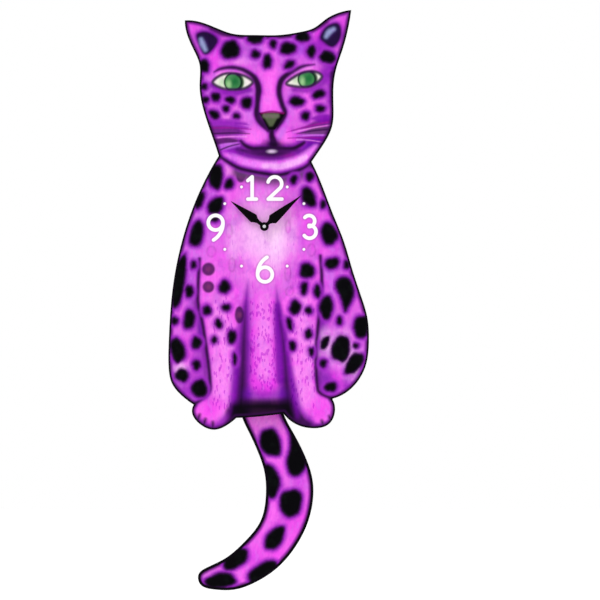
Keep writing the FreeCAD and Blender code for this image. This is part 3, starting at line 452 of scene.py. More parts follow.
def paint_belly(p):
    """The bright column between the forelegs, the dark gaps beside it and the shade below."""
    p.glaze(((0, -52, 4), (0, -80, 6), (0, -106, 7)), MAGENTA, 0.95, 6)
    p.glaze(((0, -48, 1), (0, -76, 2), (0, -100, 1)), BLUSH, 0.8, 7)
    p.glaze(((9, -54, 0), (10, -78, 1), (11, -104, 1)), DEEP, 0.85, 4.5)
    for gap in (LEFT_GAP, RIGHT_GAP):
        p.glaze([(x, z, w + 1) for x, z, w in gap], DEEP, 0.9, 5)
        p.glaze([(x, z, w - 1.5) for x, z, w in gap], NIGHT, 0.85, 4)
        p.glaze([(x, z, w - 4.2) for x, z, w in gap], INK, 1.0, 3.5)
    p.glaze(((-10, -114, 0), (0, -116, 1), (11, -114, 0)), INDIGO, 0.6, 8)
    p.glaze(((-12, -120, 1), (0, -121, 1), (13, -120, 1)), NIGHT, 0.8, 5)
    p.shape(UNDER_BODY, INK, 0.97, soft=7)


def ellipse(x, z, width, height, share=1.0):
    """Points of an upright ellipse, or of one scaled down inside it."""
    turns = np.linspace(0, 2 * math.pi, 24, endpoint=False)
    rx, rz = share * width / 2, share * height / 2
    return np.stack([x + rx * np.cos(turns), z + rz * np.sin(turns)], 1)


def paint_soft_spots(p):
    """Pale fur round the largest spots, and spots too faded to have an edge."""
    for x, z, r in PALE_RIMS:
        p.wash(x, z, r, r * 1.4, PALE, 0.95, lean=12)
    for ghost in GHOST_SPOTS:
        loop = ellipse(*ghost)
        ring = [(x, z, 0) for x, z in (*loop, loop[0])]
        p.shape(loop, PLUM, 0.06, soft=2)
        p.line(ring, PLUM, 0.22, 1.2)
    for faded in FADED_SPOTS:
        p.shape(ellipse(*faded, share=0.9), NIGHT, 0.9, soft=1.8)
        p.shape(ellipse(*faded, share=0.1), FADED, 0.7, soft=2.6)


def paint_body_lines(p):
    for line in (LEFT_LEG_OUT, RIGHT_LEG_OUT):
        paint_line(p, line, 0.9)
    for x, z, dx in TOES:
        p.draw("ink", [(x, z + 1.2, 0.1), (x + dx * 0.4, z, 0.3), (x + dx, z - 2.2, 0.15)])


def paint_body(p, random):
    paint_trunk(p)
    paint_legs(p)
    paint_belly(p)
    paint_soft_spots(p)
    p.glaze([(x, z - 2, 1) for x, z, _ in CHIN[2:]], DUSK, 0.95, 8)
    p.wash(-25, 38, 6, 6, BLUSH, 0.7)
    p.wash(28, 38, 8, 6, DUSK)
    paint_body_lines(p)
    spots(p, BODY_SPOTS, random)
    p.draw("spot", smooth(TEARDROP))
    fur(p, -10, 8, -110, -50, 170, random, length=1.8)
    fur(p, -26, 26, -46, 8, 110, random, length=6.0, half_width=-0.1)
    fur(p, -36, -22, -122, -46, 70, random)
    fur(p, 18, 34, -122, -52, 80, random)


# ---- the head's picture ----
def head_loop():
    """The chin's curve, closed well outside the rest of the head."""
    chin = [(x, z) for x, z, _ in smooth(CHIN)]
    return [(-60, 52), *chin, (60, 50), (80, 160), (-80, 160)]


def paint_face(p):
    """Ground colours of the head."""
    p.mask = fade(region_distance(p.x, p.z, head_loop()), 0.5)
    p.shape(head_loop(), ORCHID)
    p.washes(
        (-2, 120, 40, 16, LAVENDER, 0.85), (26, 122, 22, 14, CROWN_VIOLET, 0.9),
        (-6, 130, 26, 8, VIOLET, 0.6), (-34, 118, 18, 22, MAGENTA, 1.0),
        (36, 130, 14, 18, MAGENTA, 0.7), (46, 108, 13, 15, DEEP, 1.0), (38, 122, 8, 12, VIOLET),
        (-50, 136, 9, 10, MAGENTA, 0.95), (54, 138, 8, 16, MAGENTA, 0.7),
        (-33, 128, 8, 8, PURPLE),
    )
    p.glaze(((-38, 124, 1), (-42, 112, 2)), PINK, 0.6, 5)
    p.washes(
        (-20, 112, 16, 5, BLUSH, 0.7), (-34, 96, 12, 14, LAVENDER, 0.6),
        (-26, 78, 24, 16, PINK, 0.9), (-28, 88, 10, 6, VIOLET, 0.5),
        (-22, 77, 18, 11, BLUSH, 0.7), (-36, 84, 9, 14, ORCHID, 0.6),
        (-11, 82, 8, 18, LAVENDER, 0.85), (28, 84, 20, 18, PINK, 0.95),
        (17, 82, 7, 16, LAVENDER, 0.6), (42, 73, 12, 6, VIOLET, 1.0), (42, 56, 8, 9, DEEP, 0.7),
        (45, 84, 6, 12, PURPLE, 0.7),
    )
    p.glaze(((3, 122, 1), (3, 104, 3), (3, 90, 3.5), (4, 79, 4)), PINK, 0.95, 6)
    p.glaze(((4, 106, 0), (4, 84, 2)), HOT_PINK, 0.8, 5)
    p.glaze(((-36, 96, 0), (-29, 92, 0.4), (-21, 91, 1), (-10, 93, 0.4)), DEEP, 0.9, 4)
    p.glaze(((-33, 90, 0), (-30, 84, 0.5)), VIOLET, 0.6, 6)
    p.glaze(((20, 93, 0), (30, 93, 0.6), (38, 97, 1), (42, 102, 1)), DEEP, 0.8, 4)
    p.glaze(((42, 104, 1), (46, 98, 2), (47, 86, 1)), PURPLE, 0.9, 6)
    p.glaze(((-42, 106, 0.5), (-43, 92, 0.5), (-38, 70, 0.5)), PURPLE, 0.6, 4)
    p.glaze(((46, 104, 0), (47, 92, 0.6), (48, 80, 0.8), (47, 68, 0)), NIGHT, 0.85, 3)
    p.glaze(CROWN, NIGHT, 0.9, 3)
    p.wash(36, 121, 14, 11, DEEP, 0.55)
    p.wash(-12, 121, 8, 9, DEEP, 0.35)
    p.glaze(LEFT_LID_GAP, BLUSH, 0.9, 2.2)
    p.glaze(RIGHT_LID_GAP, BLUSH, 0.9, 2.2)


def paint_muzzle(p):
    """The whisker pads, the shade below the mouth and the lit chin."""
    p.glaze(((-38, 66, 4), (-24, 65, 3), (-14, 64, 1)), PURPLE, 0.7, 6)
    p.glaze(((44, 66, 4), (32, 64, 3), (22, 62, 1)), PURPLE, 0.7, 6)
    p.washes(
        (-6, 61, 13, 10, PINK, 1.0), (17, 61, 12, 10, PINK, 1.0), (-7, 61, 9, 7, HOT_PINK, 1.0),
        (14, 60, 8, 7, HOT_PINK, 0.7),
    )
    p.glaze(((15, 72, 0), (13, 66, 0.6), (10, 60, 0.3)), LAVENDER, 0.8, 3)
    p.glaze(((-34, 52, 2), (-18, 51, 3), (5, 48, 3), (24, 52, 3), (40, 58, 2)), DEEP, 0.9, 6)
    p.glaze(((-32, 51, 0.3), (-20, 50, 0.3)), VIOLET, 0.6, 3)
    p.glaze(((-18, 52, -2), (5, 51, 2), (24, 53, -2)), NIGHT, 0.85, 6)
    p.wash(17, 48, 8, 3, BERRY, 0.6)
    p.glaze(((26, 55, 0.3), (34, 57, 1)), INDIGO, 0.8, 4)
    p.glaze(CHIN_LIGHT, CHIN_PINK, 1.0, 4)
    p.glaze([(x, z, w - 1) for x, z, w in CHIN_LIGHT[3:7]], PALE, 0.75, 3)
    p.glaze([(x, z + 1, 0) for x, z, _ in CHIN], PURPLE, 0.9, 3.6)


def paint_ears(p):
    """The hollow of each ear, with a pale gleam along its near side."""
    for ear, gleam in ((LEFT_EAR, LEFT_GLEAM), (RIGHT_EAR, RIGHT_GLEAM)):
        loop = smooth(ear, closed=True)
        p.shape(loop, DEEP, 0.95, soft=5)
        p.shape(loop, NIGHT, 1.0, soft=2.4)
        p.shape(loop, EAR_DARK, 0.8, soft=1.0)
        p.glaze(gleam, EAR_BLUE, 0.9, 4)
        core = [(x, z, w - 0.4) for x, z, w in gleam]
        p.glaze(core, EAR_PALE, 0.95, 3)


def paint_eye(p, outline, iris):
    """Sclera, iris and lids of one almond eye; the iris is lit from its lower left."""
    loop = smooth(outline, closed=True)
    face_mask = p.mask.copy()
    p.shape(loop, CREAM, 1.0, soft=0.8)
    p.mask = p.mask * fade(region_distance(p.x, p.z, loop), 0.8)
    x, z, r = iris
    p.wash(x - r * 1.25, z, r * 0.8, r, EYE_LIGHT, 0.6)
    circle = [point[:2] for point in arc(x, z, r, 0, 340, 0)]
    p.shape(circle, EYE_MID, 1.0, soft=0.8)
    p.wash(x + r * 0.2, z + r * 0.1, r, r * 1.3, EYE_DARK, 1.0)
    p.wash(x - r * 0.55, z - r * 0.3, r * 0.5, r * 0.9, EYE_LIGHT, 0.9)
    p.line(arc(x, z, r, -75, 60, 0.7), EYE_RIM, 1.0, 1.1)
    p.line(arc(x, z, r, 110, 250, 0.2), EYE_RIM, 0.9, 0.8)
    p.line(arc(x, z, r * 1.2, -40, 40, 0), EYE_LIGHT, 0.3, 1.5)
    p.mask = face_mask
    lids = [(*point, 0.3) for point in (*loop, loop[0])]
    p.line(lids, NIGHT, 0.95, 1.5)


def paint_nose(p):
    """Olive leather, lit from the upper left, and the pale lip under it."""
    p.glaze(((-4, 77, 0), (-2, 72, 1), (3, 66, 1)), NIGHT, 0.9, 2)
    p.shape(NOSE, INK, 1.0, soft=0.8)
    p.shape(NOSE_LIT, NOSE_OLIVE, 0.9, soft=1.8)
    p.glaze(((0, 75, 0), (5, 75, 0.4), (9, 75, 0)), NOSE_LIGHT, 0.9, 2.4)
    p.glaze(((-2, 77, 0), (5, 78, 0.2), (13, 77, 0)), MAROON, 0.9, 1.2)
    p.washes(
        (6, 56, 11, 6, NIGHT, 0.9), (7, 55, 7, 4, INK), (5, 51, 9, 5, NIGHT, 0.9),
        (5, 51, 5, 2, LIP, 1.0),
    )


def paint_whiskers(p):
    """Bands of shade across each cheek, with fine strokes over them."""
    for layout, strength, soft in ((CHEEK_BANDS, 0.85, 2.4), (WHISKERS, 0.85, 0.9)):
        for x0, z0, x1, z1, w, colour in layout:
            middle = ((x0 + x1) / 2, (z0 + z1) / 2 + 0.5, w)
            p.glaze(((x0, z0, -w), middle, (x1, z1, w)), colour, strength, soft)


def paint_line(p, line, dark=1.0):
    """A painted contour: purple at its edges, nearly black along its middle."""
    p.glaze(line, PURPLE, 0.75, 3.0)
    p.glaze([(x, z, w * 0.7) for x, z, w in line], NIGHT, 0.9, 1.8)
    p.glaze([(x, z, w - 1.1) for x, z, w in line], INK, dark, 1.5)


def paint_head(p, random):
    paint_face(p)
    paint_muzzle(p)
    paint_whiskers(p)
    paint_ears(p)
    for brow in (LEFT_BROW, RIGHT_BROW):
        paint_line(p, brow, 0.7)
    for line in (PHILTRUM, MOUTH):
        paint_line(p, line, 0.8)
    p.glaze(LOWER_LIP, NIGHT, 0.8, 3.5)
    paint_nose(p)
    paint_eye(p, LEFT_EYE, LEFT_IRIS)
    paint_eye(p, RIGHT_EYE, RIGHT_IRIS)
    p.mask = np.ones(len(p.x))
    paint_line(p, CHIN, 0.9)
    spots(p, HEAD_SPOTS, random)


# ---- the dial ----
def numeral_strokes():
    """The four printed numbers, as round-ended strokes."""
    w = NUMERAL_HALF_W
    one = [[(-11.2, 31.2, w), (-8.3, 33.7, w)], [(-8.3, 33.7, w), (-8.3, 18.6, w)],
           [(-11.2, 18.6, w), (-5.4, 18.6, w)]]
    two = [[*arc(7.1, 29.0, 4.7, 165, -32, w), (2.6, 18.6, w), (11.9, 18.6, w)]]
    three = [arc(30.4, 3.7, 3.8, 140, -90, w), arc(30.7, -3.6, 4.4, 95, -145, w)]
    six = [arc(0.4, -32.6, 5.0, 0, 360, w, 30), arc(8.6, -32.2, 13.2, 121, 180, w)]
    nine = [arc(-33.1, 2.6, 5.0, 0, 360, w, 30), arc(-41.3, 2.2, 13.2, -59, 0, w)]
    return [*one, *two, *three, *six, *nine]


def paint_dial(p):
    for stroke in numeral_strokes():
        p.draw("white", stroke, margin=5)
    for hour in DOT_HOURS:
        a = math.radians(90 - 30 * hour)
        x, z = DOT_RADIUS * math.cos(a), DOT_RADIUS * math.sin(a)
        p.draw("white", [(x, z, DOT_R), (x, z + 0.01, DOT_R)], margin=5)


# ---- the tail's picture ----
def paint_tail(p, random):
    p.washes(
        (0, -132, 20, 18, BLUSH, 0.6), (20, -178, 18, 40, ORCHID, 0.6),
        (22, -200, 14, 26, MAGENTA, 0.7, 20), (-8, -170, 10, 30, VIOLET, 0.5),
        (2, -222, 22, 14, MAGENTA, 0.5), (-10, -226, 14, 10, VIOLET, 0.5),
        (24, -172, 10, 14, VIOLET, 0.5), (-38, -236, 10, 8, BLUSH),
    )
    spots(p, TAIL_SPOTS, random)
    p.draw("spot", smooth(TAIL_BAND))


# ---- printed sheets ----
def sheet_distance(x, z, loops):
    """Signed distance to the sheet's edge; the loops after the first are holes."""
    distance = region_distance(x, z, loops[0])
    for hole in loops[1:]:
        distance = np.maximum(distance, -region_distance(x, z, hole))
    return distance


def corner_points(loop):
    """Points where the outline turns sharply."""
    before, after = loop - np.roll(loop, 1, axis=0), np.roll(loop, -1, axis=0) - loop
    turn = np.arctan2(before[:, 0] * after[:, 1] - before[:, 1] * after[:, 0],
                      (before * after).sum(1))
    return loop[np.abs(turn) > CORNER_TURN]


def add_object(name, data):
    made = bpy.data.objects.new(name, data)
    bpy.context.scene.collection.objects.link(made)
    return made


def sheet_grid(loops):
    """Points of a grid over the sheet, those in use and its cells; the rim is on the outline."""
    low, high = loops[0].min(0) - SHEET_PITCH, loops[0].max(0) + SHEET_PITCH
    xs, zs = np.arange(low[0], high[0], SHEET_PITCH), np.arange(low[1], high[1], SHEET_PITCH)
    x, z = (a.ravel() for a in np.meshgrid(xs, zs))
    well_inside = sheet_distance(x, z, loops) < -INSIDE_SHARE * SHEET_PITCH

    index = np.arange(len(x)).reshape(len(zs), len(xs))
    cells = np.stack([index[:-1, :-1], index[:-1, 1:], index[1:, 1:], index[1:, :-1]], -1)
    cells = cells.reshape(-1, 4)
    cells = cells[well_inside[cells].any(1)]
    used = np.unique(cells)
    edge = used[~well_inside[used]]
    x[edge], z[edge] = nearest_on(loops, x[edge], z[edge])
    for corner in corner_points(loops[0]):
        nearest = edge[np.argmin(np.hypot(x[edge] - corner[0], z[edge] - corner[1]))]
        x[nearest], z[nearest] = corner
    return x, z, used, cells


def sheet_mesh(name, node):
    """A sheet of fine cells cut to the node's outline, closed at its rim and back."""
    loops = front_loops(node)
    x, z, used, cells = sheet_grid(loops)
    lo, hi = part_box(node)
    bm = bmesh.new()
    at = {i: bm.verts.new((DIAL_X + x[i] * MM, lo.y, DIAL_Z + z[i] * MM)) for i in used}
    for cell in cells:
        bm.faces.new([at[i] for i in cell])
    bmesh.ops.remove_doubles(bm, verts=bm.verts, dist=WELD)
    bmesh.ops.dissolve_degenerate(bm, edges=bm.edges, dist=WELD)
    rim = [e for e in bm.edges if e.is_boundary]
    walls = bmesh.ops.extrude_edge_only(bm, edges=rim)["geom"]
    for vert in (g for g in walls if isinstance(g, bmesh.types.BMVert)):
        vert.co.y = hi.y
    back_rim = [g for g in walls if isinstance(g, bmesh.types.BMEdge) and g.is_boundary]
    bmesh.ops.triangle_fill(bm, edges=back_rim, use_beauty=True, normal=(0, 1, 0))
    bmesh.ops.recalc_face_normals(bm, faces=bm.faces)
    mesh = bpy.data.meshes.new(name)
    bm.to_mesh(mesh)
    bm.free()
    return add_object(name, mesh), loops


def store(mesh, picture):
    """Puts the picture's colours and distances on the mesh's points."""
    paint = mesh.attributes.new("paint", "FLOAT_COLOR", "POINT")
    rgba = np.concatenate([picture.colour, np.ones((len(picture.x), 1))], 1)
    paint.data.foreach_set("color", rgba.astype(np.float32).ravel())
    for name, field in picture.fields.items():
        attribute = mesh.attributes.new(name, "FLOAT", "POINT")
        attribute.data.foreach_set("value", field.astype(np.float32))


def printed_sheet(name, node, body, painter, ground, outline_w, material):
    sheet, loops = sheet_mesh(name, node)
    co = np.empty(len(sheet.data.vertices) * 3)
    sheet.data.vertices.foreach_get("co", co)
    co = co.reshape(-1, 3)
    x, z = (co[:, 0] - DIAL_X) / MM, (co[:, 2] - DIAL_Z) / MM
    picture = Picture(x, z, ground)
    rim = -region_distance(x, z, loops[0])
    painter(picture, np.random.default_rng(SEED))
    picture.darken(RIM_STRENGTH * fade(rim - outline_w, RIM_GLOW), PURPLE)
    picture.fields["ink"] = np.minimum(picture.fields["ink"], rim - outline_w)
    store(sheet.data, picture)
    sheet.data.materials.append(material)
    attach(sheet, body)
    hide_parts(node)


def body_painter(p, random):
    paint_body(p, random)
    paint_head(p, random)
    paint_dial(p)


# ---- materials ----
class Shader:
    """A node material with one Principled shader and short ways to add nodes."""

    def __init__(self, name, **values):
        self.material = bpy.data.materials.new(name)
        self.material.use_nodes = True
        self.tree = self.material.node_tree
        self.surface = next(n for n in self.tree.nodes if n.type == "BSDF_PRINCIPLED")
        for socket, value in values.items():
            self.set(socket.replace("_", " "), value)
        self.here = self.add("ShaderNodeTexCoord").outputs["Object"]

    def plug(self, socket, value):
        """Links a node's output to a socket, or stores a plain value there."""
        if isinstance(value, bpy.types.NodeSocket):
            self.tree.links.new(value, socket)
        elif socket.type == "RGBA":
            socket.default_value = (*value, 1.0)
        else:
            socket.default_value = value

    def set(self, name, value):
        self.plug(self.surface.inputs[name], value)

    def add(self, kind, inputs=None, **settings):
        node = self.tree.nodes.new(kind)
        for key, value in settings.items():
            setattr(node, key, value)
        for key, value in (inputs or {}).items():
            self.plug(node.inputs[key], value)
        return node

    def scaled(self, sx, sy, sz):
        """Object coordinates stretched by a scale per axis."""
        node = self.add("ShaderNodeMapping", {"Vector": self.here, "Scale": (sx, sy, sz)})
        return node.outputs["Vector"]

    def noise(self, scale, detail=3.0, at=None, roughness=0.55):
        node = self.add("ShaderNodeTexNoise", {"Vector": at or self.here, "Scale": scale,
                                               "Detail": detail, "Roughness": roughness})
        return node.outputs["Fac"]

    def field(self, name):
        return self.add("ShaderNodeAttribute", attribute_name=name).outputs["Fac"]

    def math(self, operation, a, b=0.0):
        node = self.add("ShaderNodeMath", operation=operation)
        for socket, value in zip(node.inputs, (a, b)):
            self.plug(socket, value)
        return node.outputs[0]

    def remap(self, value, low, high, to_low=0.0, to_high=1.0, smooth_step=True):
        """Maps the range from low to high onto another one, and holds its ends outside it."""
        node = self.add("ShaderNodeMapRange",
                        {"Value": value, "From Min": low, "From Max": high,
                         "To Min": to_low, "To Max": to_high},
                        interpolation_type="SMOOTHSTEP" if smooth_step else "LINEAR")
        return node.outputs["Result"]

    def mix(self, factor, a, b, blend="MIX"):
        node = self.add("ShaderNodeMix", data_type="RGBA", blend_type=blend)
        colours = [s for s in node.inputs if s.type == "RGBA"]
        for socket, value in zip((node.inputs[0], *colours), (factor, a, b)):
            self.plug(socket, value)
        return next(s for s in node.outputs if s.type == "RGBA")

    def tint(self, factor, colour, tint):
        """A share of a colour multiplied by a tint."""
        return self.mix(factor, colour, self.mix(1.0, colour, tint, "MULTIPLY"))

    def split(self, vector):
        return self.add("ShaderNodeSeparateXYZ", {"Vector": vector}).outputs

    def normal_axis(self, axis):
        """Size of the surface normal along one of the object's axes."""
        normal = self.add("ShaderNodeTexCoord").outputs["Normal"]
        return self.math("ABSOLUTE", self.split(normal)[axis])

    def bump(self, height, strength, distance):
        node = self.add("ShaderNodeBump", {"Height": height, "Strength": strength,
                                           "Distance": distance})
        self.set("Normal", node.outputs["Normal"])

    def finish(self, colour, pattern, rough, relief, strength, depth):
        """Sets colour and relief, and a roughness that follows a pattern between two values."""
        self.set("Base Color", colour)
        self.set("Roughness", self.remap(pattern, 0.3, 0.7, *rough, smooth_step=False))
        self.bump(relief, strength, depth)
        return self.material


# Colours of the materials; a pair runs from dark to light.
STREAK_TINT = srgb(200, 150, 226)
CLOUD_TINT = srgb(196, 128, 222)
HAIR_TINT = srgb(206, 120, 226)
PRINT_GLOW = srgb(255, 150, 250)
SPOT_BLACKS = srgb(4, 3, 6), srgb(10, 15, 14)
NUMERAL_WHITE = srgb(250, 246, 250)
BOARD_BROWNS = srgb(108, 72, 44), srgb(146, 104, 66)
FIBRE_LIGHT = srgb(172, 132, 88)
FLECK_DARK = srgb(66, 42, 26)
EDGE_STAINS = srgb(16, 10, 18), srgb(44, 28, 46)
DUST = srgb(120, 116, 112)
HAND_BLACKS = srgb(5, 4, 6), srgb(18, 16, 20)
COPPERS = srgb(110, 44, 18), srgb(214, 118, 62)
SOLDER_MASKS = srgb(14, 78, 46), srgb(20, 96, 56)
TRACK_GREEN = srgb(46, 132, 78)
CELL_BLUES = srgb(18, 40, 92), srgb(30, 58, 122)
CELL_SILVERS = srgb(170, 174, 182), srgb(206, 208, 214)
CELL_GOLD = srgb(222, 196, 96)
GRIT_BLACKS = srgb(30, 28, 28), srgb(70, 66, 64)
EPOXY_BLACKS = srgb(8, 8, 9), srgb(30, 30, 32)
# How far light travels in milky plastic, in metres for red, green and blue
MILKY_DEPTH = (0.001, 0.0008, 0.0007)
# Bands on the cell's sleeve, as shares of its length
SILVER_END, LINE_START, LINE_END, BAND_SOFT = 0.2, 0.225, 0.25, 0.005


def brushwork(s, paint, streaks, mottle):
    """The stored colour with streaks, clouds, daubs and a soft glow over it."""
    cloud = s.noise(75, 3.0)
    colour = s.tint(s.remap(streaks, 0.32, 0.68, 0.0, 0.22), paint, STREAK_TINT)
    colour = s.tint(s.remap(cloud, 0.5, 0.7, 0.0, 0.45), colour, CLOUD_TINT)
    red, green, _ = s.add("ShaderNodeSeparateColor", {"Color": paint}).outputs
    ground = s.math("MULTIPLY", s.remap(red, 0.4, 0.62), s.remap(green, 0.42, 0.28))
    daubs = s.noise(1.0, 3.0, s.scaled(300, 300, 150))
    rich = s.math("MULTIPLY", ground, s.remap(daubs, 0.5, 0.64, 0.0, 0.3))
    faint = s.math("MULTIPLY", ground, s.remap(daubs, 0.47, 0.36, 0.0, 0.3))
    colour = s.mix(rich, colour, MAGENTA)
    colour = s.mix(faint, colour, LAVENDER)
    glow = s.math("MULTIPLY", s.remap(mottle, 0.5, 0.72), 0.3)
    return s.mix(glow, colour, PRINT_GLOW, "SOFT_LIGHT"), green


def markings(s, colour, green, mottle, grain):
    """Ink lines, haloed spots and hairs; each remap runs between two distances in millimetres."""
    wander = s.math("SUBTRACT", s.noise(420, 3.0), 0.5)
    fine = s.math("MULTIPLY", s.math("SUBTRACT", grain, 0.5), 0.5)
    ink = s.math("ADD", s.field("ink"), s.math("MULTIPLY", wander, 0.35))
    spot = s.math("ADD", s.math("ADD", s.field("spot"), wander), fine)
    light_ground = s.remap(green, 0.15, 0.45, 1.0, 0.15)
    halo = s.math("MULTIPLY", s.remap(spot, 3.6, 0.2, 0.0, 0.95), light_ground)
    colour = s.mix(s.remap(ink, 2.2, 0.0, 0.0, 0.7), colour, NIGHT)
    colour = s.mix(halo, colour, PURPLE)
    colour = s.mix(s.remap(spot, 1.4, -1.0), colour, NIGHT)
    colour = s.tint(s.remap(s.field("fur"), 0.35, 0.0, 0.0, 0.75), colour, HAIR_TINT)
    spot_colour = s.mix(s.remap(mottle, 0.45, 0.8), *SPOT_BLACKS)
    colour = s.mix(s.remap(spot, -0.2, -2.1), colour, spot_colour)
    return s.mix(s.remap(ink, 0.4, -0.5), colour, INK)


def print_material():
    """Lacquered print on paper: brushed colour, haloed spots, ink lines and white numerals."""
    s = Shader("art_print", Specular_IOR_Level=0.03)
    paint = s.add("ShaderNodeAttribute", attribute_name="paint").outputs["Color"]
    streaks = s.noise(1.0, 5.0, s.scaled(620, 620, 260))
    mottle = s.noise(160, 4.0)
    grain = s.noise(1400, 2.0)
    colour, green = brushwork(s, paint, streaks, mottle)
    colour = markings(s, colour, green, mottle, grain)
    white = s.field("white")
    colour = s.mix(s.remap(white, 1.6, 0.0, 0.0, 0.28), colour, DUSK)
    colour = s.mix(s.remap(white, 0.2, -0.3), colour, NUMERAL_WHITE)
    relief = s.math("ADD", streaks, s.math("MULTIPLY", grain, 0.6))
    return s.finish(colour, streaks, (0.42, 0.56), relief, 0.1, 0.0002)


def hardboard_material():
    """Brown pressed fibres on the back; the sawn edges are stained black."""
    s = Shader("hardboard", Specular_IOR_Level=0.25)
    fibres = s.noise(1.0, 6.0, s.scaled(420, 420, 1500))
    crossed = s.noise(1.0, 6.0, s.scaled(1500, 420, 380))
    flecks = s.noise(2600, 2.0)
    brown = s.mix(s.remap(fibres, 0.3, 0.7), *BOARD_BROWNS)
    brown = s.mix(s.math("MULTIPLY", s.remap(crossed, 0.5, 0.75), 0.6), brown, FIBRE_LIGHT)
    brown = s.mix(s.remap(flecks, 0.62, 0.75, 0.0, 0.5), brown, FLECK_DARK)
    edge = s.remap(s.normal_axis(1), 0.75, 0.5)
    stain = s.mix(s.remap(crossed, 0.4, 0.8), *EDGE_STAINS)
    relief = s.math("ADD", fibres, crossed)
    return s.finish(s.mix(edge, brown, stain), fibres, (0.62, 0.85), relief, 0.35, 0.0003)


def moulded(name, dark, light, roughness, depth=0.25, subsurface=0.0):
    """Moulded plastic with a fine spark-eroded texture and faint flow marks."""
    s = Shader(name, Specular_IOR_Level=0.5, Subsurface_Weight=subsurface)
    if subsurface:
        s.set("Subsurface Radius", MILKY_DEPTH)
    flow = s.noise(38, 3.0)
    grain = s.noise(2600, 2.0)
    dust = s.noise(700, 5.0, roughness=0.7)
    colour = s.mix(s.remap(flow, 0.3, 0.7), dark, light)
    colour = s.mix(s.remap(dust, 0.66, 0.85, 0.0, 0.25), colour, DUST)
    return s.finish(colour, flow, (roughness - 0.07, roughness + 0.08), grain, depth, 0.00025)


def metal(name, dark, light, roughness, lines=(60, 3000, 3000), tarnish=None):
    """Drawn or stamped metal with a fine grain along one axis and light tarnish."""
    s = Shader(name, Metallic=1.0)
    brushed = s.noise(1.0, 4.0, s.scaled(*lines))
    cloud = s.noise(120, 4.0)
    colour = s.mix(s.remap(brushed, 0.3, 0.7), dark, light)
    if tarnish:
        colour = s.mix(s.remap(cloud, 0.52, 0.8, 0.0, 0.6), colour, tarnish)
    return s.finish(colour, cloud, (roughness - 0.06, roughness + 0.12), brushed, 0.12, 0.0001)


def hand_material():
    """Black satin paint over stamped steel."""
    s = Shader("hand_paint", Specular_IOR_Level=0.03)
    orange_peel = s.noise(900, 3.0)
    specks = s.noise(2400, 2.0)
    colour = s.mix(s.remap(specks, 0.6, 0.8), *HAND_BLACKS)
    return s.finish(colour, orange_peel, (0.36, 0.5), orange_peel, 0.15, 0.00015)


def winding_material():
    """Enamelled copper wire in close turns round the coil."""
    s = Shader("copper_wire", Metallic=0.9, Roughness=0.3)
    turns = s.add("ShaderNodeTexWave", {"Vector": s.here, "Scale": 1900.0, "Distortion": 0.6},
                  wave_type="BANDS", bands_direction="DIAGONAL").outputs["Fac"]
    s.set("Base Color", s.mix(turns, *COPPERS))
    s.bump(turns, 0.6, 0.0002)
    return s.material


def board_material():
    """Green solder mask with paler tracks under it."""
    s = Shader("circuit_board", Coat_Weight=0.4, Coat_Roughness=0.15, Specular_IOR_Level=0.5)
    tracks = s.add("ShaderNodeTexBrick", {"Vector": s.scaled(1, 0, 1), "Scale": 160.0,
                                          "Mortar Size": 0.08}, offset=0.35).outputs["Fac"]
    weave = s.noise(1800, 2.0)
    green = s.mix(s.remap(weave, 0.3, 0.7), *SOLDER_MASKS)
    return s.finish(s.mix(tracks, green, TRACK_GREEN), weave, (0.35, 0.5), tracks, 0.3, 0.0001)


def sleeve_material():
    """Shrink sleeve of the battery: a dark blue wrap with a silver band at the positive end."""
    lo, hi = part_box("battery_sleeve")
    s = Shader("cell_sleeve", Coat_Weight=0.5, Coat_Roughness=0.12)
    along = s.remap(s.split(s.here)[0], lo.x, hi.x, 0.0, 1.0, False)
    scuffs = s.noise(1.0, 5.0, s.scaled(300, 2200, 2200))
    ground = s.mix(s.remap(scuffs, 0.35, 0.75), *CELL_BLUES)
    silver = s.mix(s.remap(scuffs, 0.3, 0.7), *CELL_SILVERS)
    colour = s.mix(s.remap(along, SILVER_END + BAND_SOFT, SILVER_END), ground, silver)
    line = s.math("MULTIPLY", s.remap(along, LINE_START, LINE_START + BAND_SOFT),
                  s.remap(along, LINE_END, LINE_END - BAND_SOFT))
    return s.finish(s.mix(line, colour, CELL_GOLD), scuffs, (0.25, 0.42), scuffs, 0.08, 0.0001)


def filling_material():
    s = Shader("cell_filling")
    grit = s.noise(1600, 5.0)
    colour = s.mix(s.remap(grit, 0.3, 0.7), *GRIT_BLACKS)
    return s.finish(colour, grit, (0.7, 0.9), grit, 0.4, 0.0003)


def epoxy_material():
    s = Shader("epoxy", Specular_IOR_Level=0.6)
    swirl = s.noise(500, 3.0)
    return s.finish(s.mix(swirl, *EPOXY_BLACKS), swirl, (0.15, 0.3), swirl, 0.1, 0.0002)


